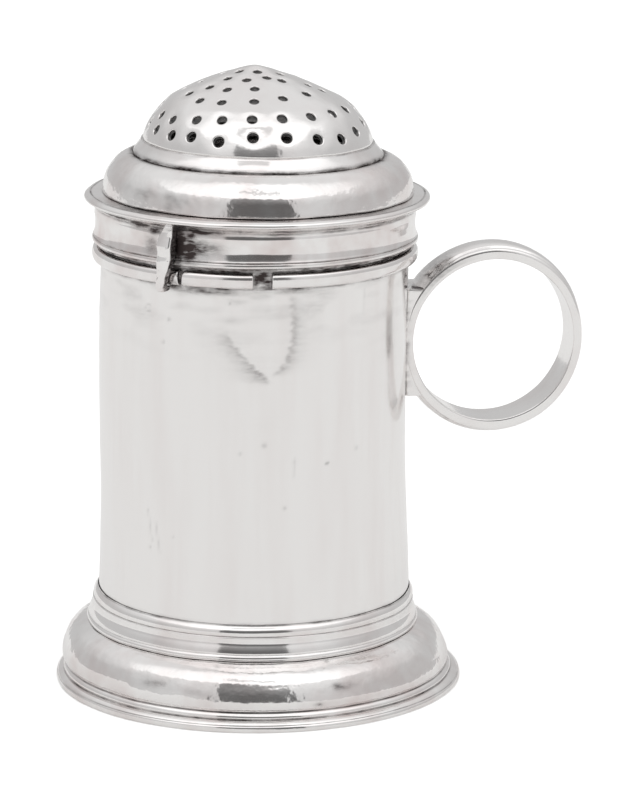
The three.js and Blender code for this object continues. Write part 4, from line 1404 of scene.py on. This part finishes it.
def studio_room():
    """The room by direction: grey walls that brighten upwards, a broad soft light above the camera,
    and the dark card round the camera under it. The camera itself sees plain white."""
    world = bpy.data.worlds.new("soft_studio")
    bpy.context.scene.world = world
    world.use_nodes = True
    tree = world.node_tree
    tree.nodes.clear()
    way = add_node(tree, "ShaderNodeTexCoord").outputs["Generated"]
    split = add_node(tree, "ShaderNodeSeparateXYZ", links={"Vector": way})
    up = split.outputs["Z"]
    level_way = add_node(tree, "ShaderNodeCombineXYZ",
                         links={"X": split.outputs["X"], "Y": split.outputs["Y"]})
    level_unit = add_node(tree, "ShaderNodeVectorMath", {"operation": "NORMALIZE"},
                          {0: level_way.outputs[0]})
    card_way = TO_CAMERA + math.radians(CARD_TURN)
    to_card = (math.cos(card_way), math.sin(card_way), 0)
    ahead = add_node(tree, "ShaderNodeVectorMath", {"operation": "DOT_PRODUCT", 1: to_card},
                     {0: level_unit.outputs[0]}).outputs["Value"]

    def band(source, low, high, softness):
        """1 between low and high, easing to 0 outside them over the softness."""
        rise = add_node(tree, "ShaderNodeMapRange", {
            "interpolation_type": "SMOOTHSTEP", "From Min": low - softness, "From Max": low + softness,
        }, {"Value": source})
        fall = add_node(tree, "ShaderNodeMapRange", {
            "interpolation_type": "SMOOTHSTEP", "From Min": high - softness, "From Max": high + softness,
            "To Min": 1.0, "To Max": 0.0,
        }, {"Value": source})
        return add_node(tree, "ShaderNodeMath", {"operation": "MULTIPLY"},
                        {0: rise.outputs[0], 1: fall.outputs[0]}).outputs[0]

    walls = add_node(tree, "ShaderNodeMapRange", {
        "interpolation_type": "SMOOTHSTEP", "From Min": 0.25, "From Max": 0.75,
        "To Min": WALLS[0], "To Max": WALLS[1],
    }, {"Value": up})
    panel_height = band(up, sine(PANEL_FOOT), 0.995, 0.035)
    panel_width = band(ahead, -0.15, 3.0, 0.45)
    panel = add_node(tree, "ShaderNodeMath", {"operation": "MULTIPLY"}, {0: panel_height, 1: panel_width})
    near_camera = add_node(tree, "ShaderNodeMath", {"operation": "MULTIPLY_ADD", 1: CAMERA_SIDE_LIGHT}, {
        0: band(ahead, math.cos(math.radians(60)), 3.0, 0.3), 2: walls.outputs[0],
    })
    lit = add_node(tree, "ShaderNodeMath", {"operation": "MULTIPLY_ADD", 1: PANEL_LIGHT},
                   {0: panel.outputs[0], 2: near_camera.outputs[0]})
    straight_ahead = band(ahead, math.cos(math.radians(CARD_HALF_WIDTH)), 2.0, 0.006)
    card_height = band(up, sine(CARD_HEIGHTS[0]), sine(CARD_HEIGHTS[1]), 0.03)
    card_shade = add_node(tree, "ShaderNodeMapRange", {
        "From Min": sine(20), "From Max": sine(CARD_HEIGHTS[1]),
        "To Min": CARD_SHADES[0], "To Max": CARD_SHADES[1],
    }, {"Value": up})
    card = add_node(tree, "ShaderNodeMath", {"operation": "MULTIPLY"},
                    {0: card_height, 1: card_shade.outputs[0]})
    strip_height = band(up, sine(STRIP_HEIGHTS[0]), sine(STRIP_HEIGHTS[1]), 0.012)
    strip = add_node(tree, "ShaderNodeMath", {"operation": "MULTIPLY_ADD", 1: STRIP_SHADE},
                     {0: strip_height, 2: card.outputs[0]})
    shade = add_node(tree, "ShaderNodeMath", {"operation": "MULTIPLY_ADD", 2: 1.0},
                     {0: straight_ahead, 1: strip.outputs[0]})
    room = add_node(tree, "ShaderNodeMath", {"operation": "MULTIPLY"},
                    {0: lit.outputs[0], 1: shade.outputs[0]})
    seen = add_node(tree, "ShaderNodeBackground", {"Color": (1, 1, 1, 1)}, {"Strength": room.outputs[0]})
    white = add_node(tree, "ShaderNodeBackground", {"Color": (1, 1, 1, 1), "Strength": 1.0})
    ray = add_node(tree, "ShaderNodeLightPath")
    mix = add_node(tree, "ShaderNodeMixShader", links={
        0: ray.outputs["Is Camera Ray"], 1: seen.outputs[0], 2: white.outputs[0],
    })
    add_node(tree, "ShaderNodeOutputWorld", links={"Surface": mix.outputs[0]})


def paper_floor():
    """A sheet of white paper, matt, that keeps the dredger's soft shadow. Camera rays see a little
    light added, so that the open paper is white."""
    colours = bpy.context.scene.dredger_colours
    half = 3.0
    mesh = bpy.data.meshes.new("paper_floor")
    corners = [(-half, -half, 0), (half, -half, 0), (half, half, 0), (-half, half, 0)]
    mesh.from_pydata(corners, [], [(0, 1, 2, 3)])
    floor = bpy.data.objects.new("paper_floor", mesh)
    bpy.context.scene.collection.objects.link(floor)
    material = bpy.data.materials.new("matt_white_paper")
    material.use_nodes = True
    tree = material.node_tree
    tree.nodes.clear()
    paper = add_node(tree, "ShaderNodeBsdfDiffuse", {"Color": (*colours.floor, 1)})
    ray = add_node(tree, "ShaderNodeLightPath")
    mirrored = add_node(tree, "ShaderNodeMath", {"operation": "MULTIPLY", 1: 0.05},
                        {0: ray.outputs["Is Glossy Ray"]})
    lift = add_node(tree, "ShaderNodeMath", {"operation": "MULTIPLY_ADD", 1: 0.4},
                    {0: ray.outputs["Is Camera Ray"], 2: mirrored.outputs[0]})
    glow = add_node(tree, "ShaderNodeEmission", {"Color": (1, 1, 1, 1)}, {"Strength": lift.outputs[0]})
    both = add_node(tree, "ShaderNodeAddShader", links={0: paper.outputs[0], 1: glow.outputs[0]})
    add_node(tree, "ShaderNodeOutputMaterial", links={"Surface": both.outputs[0]})
    mesh.materials.append(material)


# The photograph's camera, fitted to the rings in it: lens and sensor height in millimetres, how
# far it stands from the drum's axis and how high, in metres, and how far down and aside it looks,
# in degrees
LENS = 188.615
SENSOR_HEIGHT = 36
CAMERA_FAR = 0.590365
CAMERA_HIGH = 0.180174
LOOKS_DOWN = 13.26
LOOKS_ASIDE = 0.8953


class DREDGER_OT_stage(bpy.types.Operator):
    """Make the stage: paper floor, studio room and the photograph's camera"""

    bl_idname = "dredger.stage"
    bl_label = "Stage"

    def execute(self, context):
        paper_floor()
        studio_room()
        context.scene.view_settings.view_transform = "Standard"
        data = bpy.data.cameras.new("photograph_view")
        data.sensor_fit = "VERTICAL"
        data.sensor_height = SENSOR_HEIGHT
        data.lens = LENS
        camera = bpy.data.objects.new("photograph_view", data)
        across, along = CAMERA_FAR * math.cos(TO_CAMERA), CAMERA_FAR * math.sin(TO_CAMERA)
        camera.location = (AXIS_X + across, along, CAMERA_HIGH)
        turn = TO_CAMERA + math.radians(90 - LOOKS_ASIDE)
        camera.rotation_euler = (math.radians(90 - LOOKS_DOWN), 0, turn)
        context.scene.collection.objects.link(camera)
        context.scene.camera = camera
        return {"FINISHED"}


class DREDGER_PT_panel(bpy.types.Panel):
    """Sizes, wear and colours of the dredger, and a button for each of its pieces"""

    bl_idname = "DREDGER_PT_panel"
    bl_label = "Silver Dredger"
    bl_space_type = "VIEW_3D"
    bl_region_type = "UI"
    bl_category = "Dredger"

    def draw(self, context):
        layout = self.layout
        scene = context.scene
        for title in ("Sizes", "Wear", "Colours"):
            group = getattr(scene, "dredger_" + title.lower())
            box = layout.box()
            box.label(text=title)
            for name in type(group).__annotations__:
                box.prop(group, name)
        for operator in OPERATORS:
            layout.operator(operator.bl_idname)


OPERATORS = (
    DREDGER_OT_drum, DREDGER_OT_bottom, DREDGER_OT_foot, DREDGER_OT_rails, DREDGER_OT_finger_ring,
    DREDGER_OT_wedges, DREDGER_OT_skirt, DREDGER_OT_flange, DREDGER_OT_shoulder, DREDGER_OT_collet,
    DREDGER_OT_dome, DREDGER_OT_hooks, DREDGER_OT_stage,
)
GROUPS = {
    "dredger_sizes": DredgerSizes, "dredger_wear": DredgerWear, "dredger_colours": DredgerColours,
}


def register():
    for cls in (*GROUPS.values(), *OPERATORS, DREDGER_PT_panel):
        bpy.utils.register_class(cls)
    for name, group in GROUPS.items():
        setattr(bpy.types.Scene, name, PointerProperty(type=group))


def unregister():
    for name in GROUPS:
        delattr(bpy.types.Scene, name)
    for cls in reversed((*GROUPS.values(), *OPERATORS, DREDGER_PT_panel)):
        bpy.utils.unregister_class(cls)


def main():
    """Registers the add-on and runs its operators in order."""
    register()
    bpy.ops.dredger.drum()
    bpy.ops.dredger.bottom()
    bpy.ops.dredger.foot()
    bpy.ops.dredger.rails()
    bpy.ops.dredger.finger_ring()
    bpy.ops.dredger.wedges()
    bpy.ops.dredger.skirt()
    bpy.ops.dredger.flange()
    bpy.ops.dredger.shoulder()
    bpy.ops.dredger.collet()
    bpy.ops.dredger.dome()
    bpy.ops.dredger.hooks()
    bpy.ops.dredger.stage()
    bpy.context.view_layer.update()


if __name__ == "__main__":
    main()
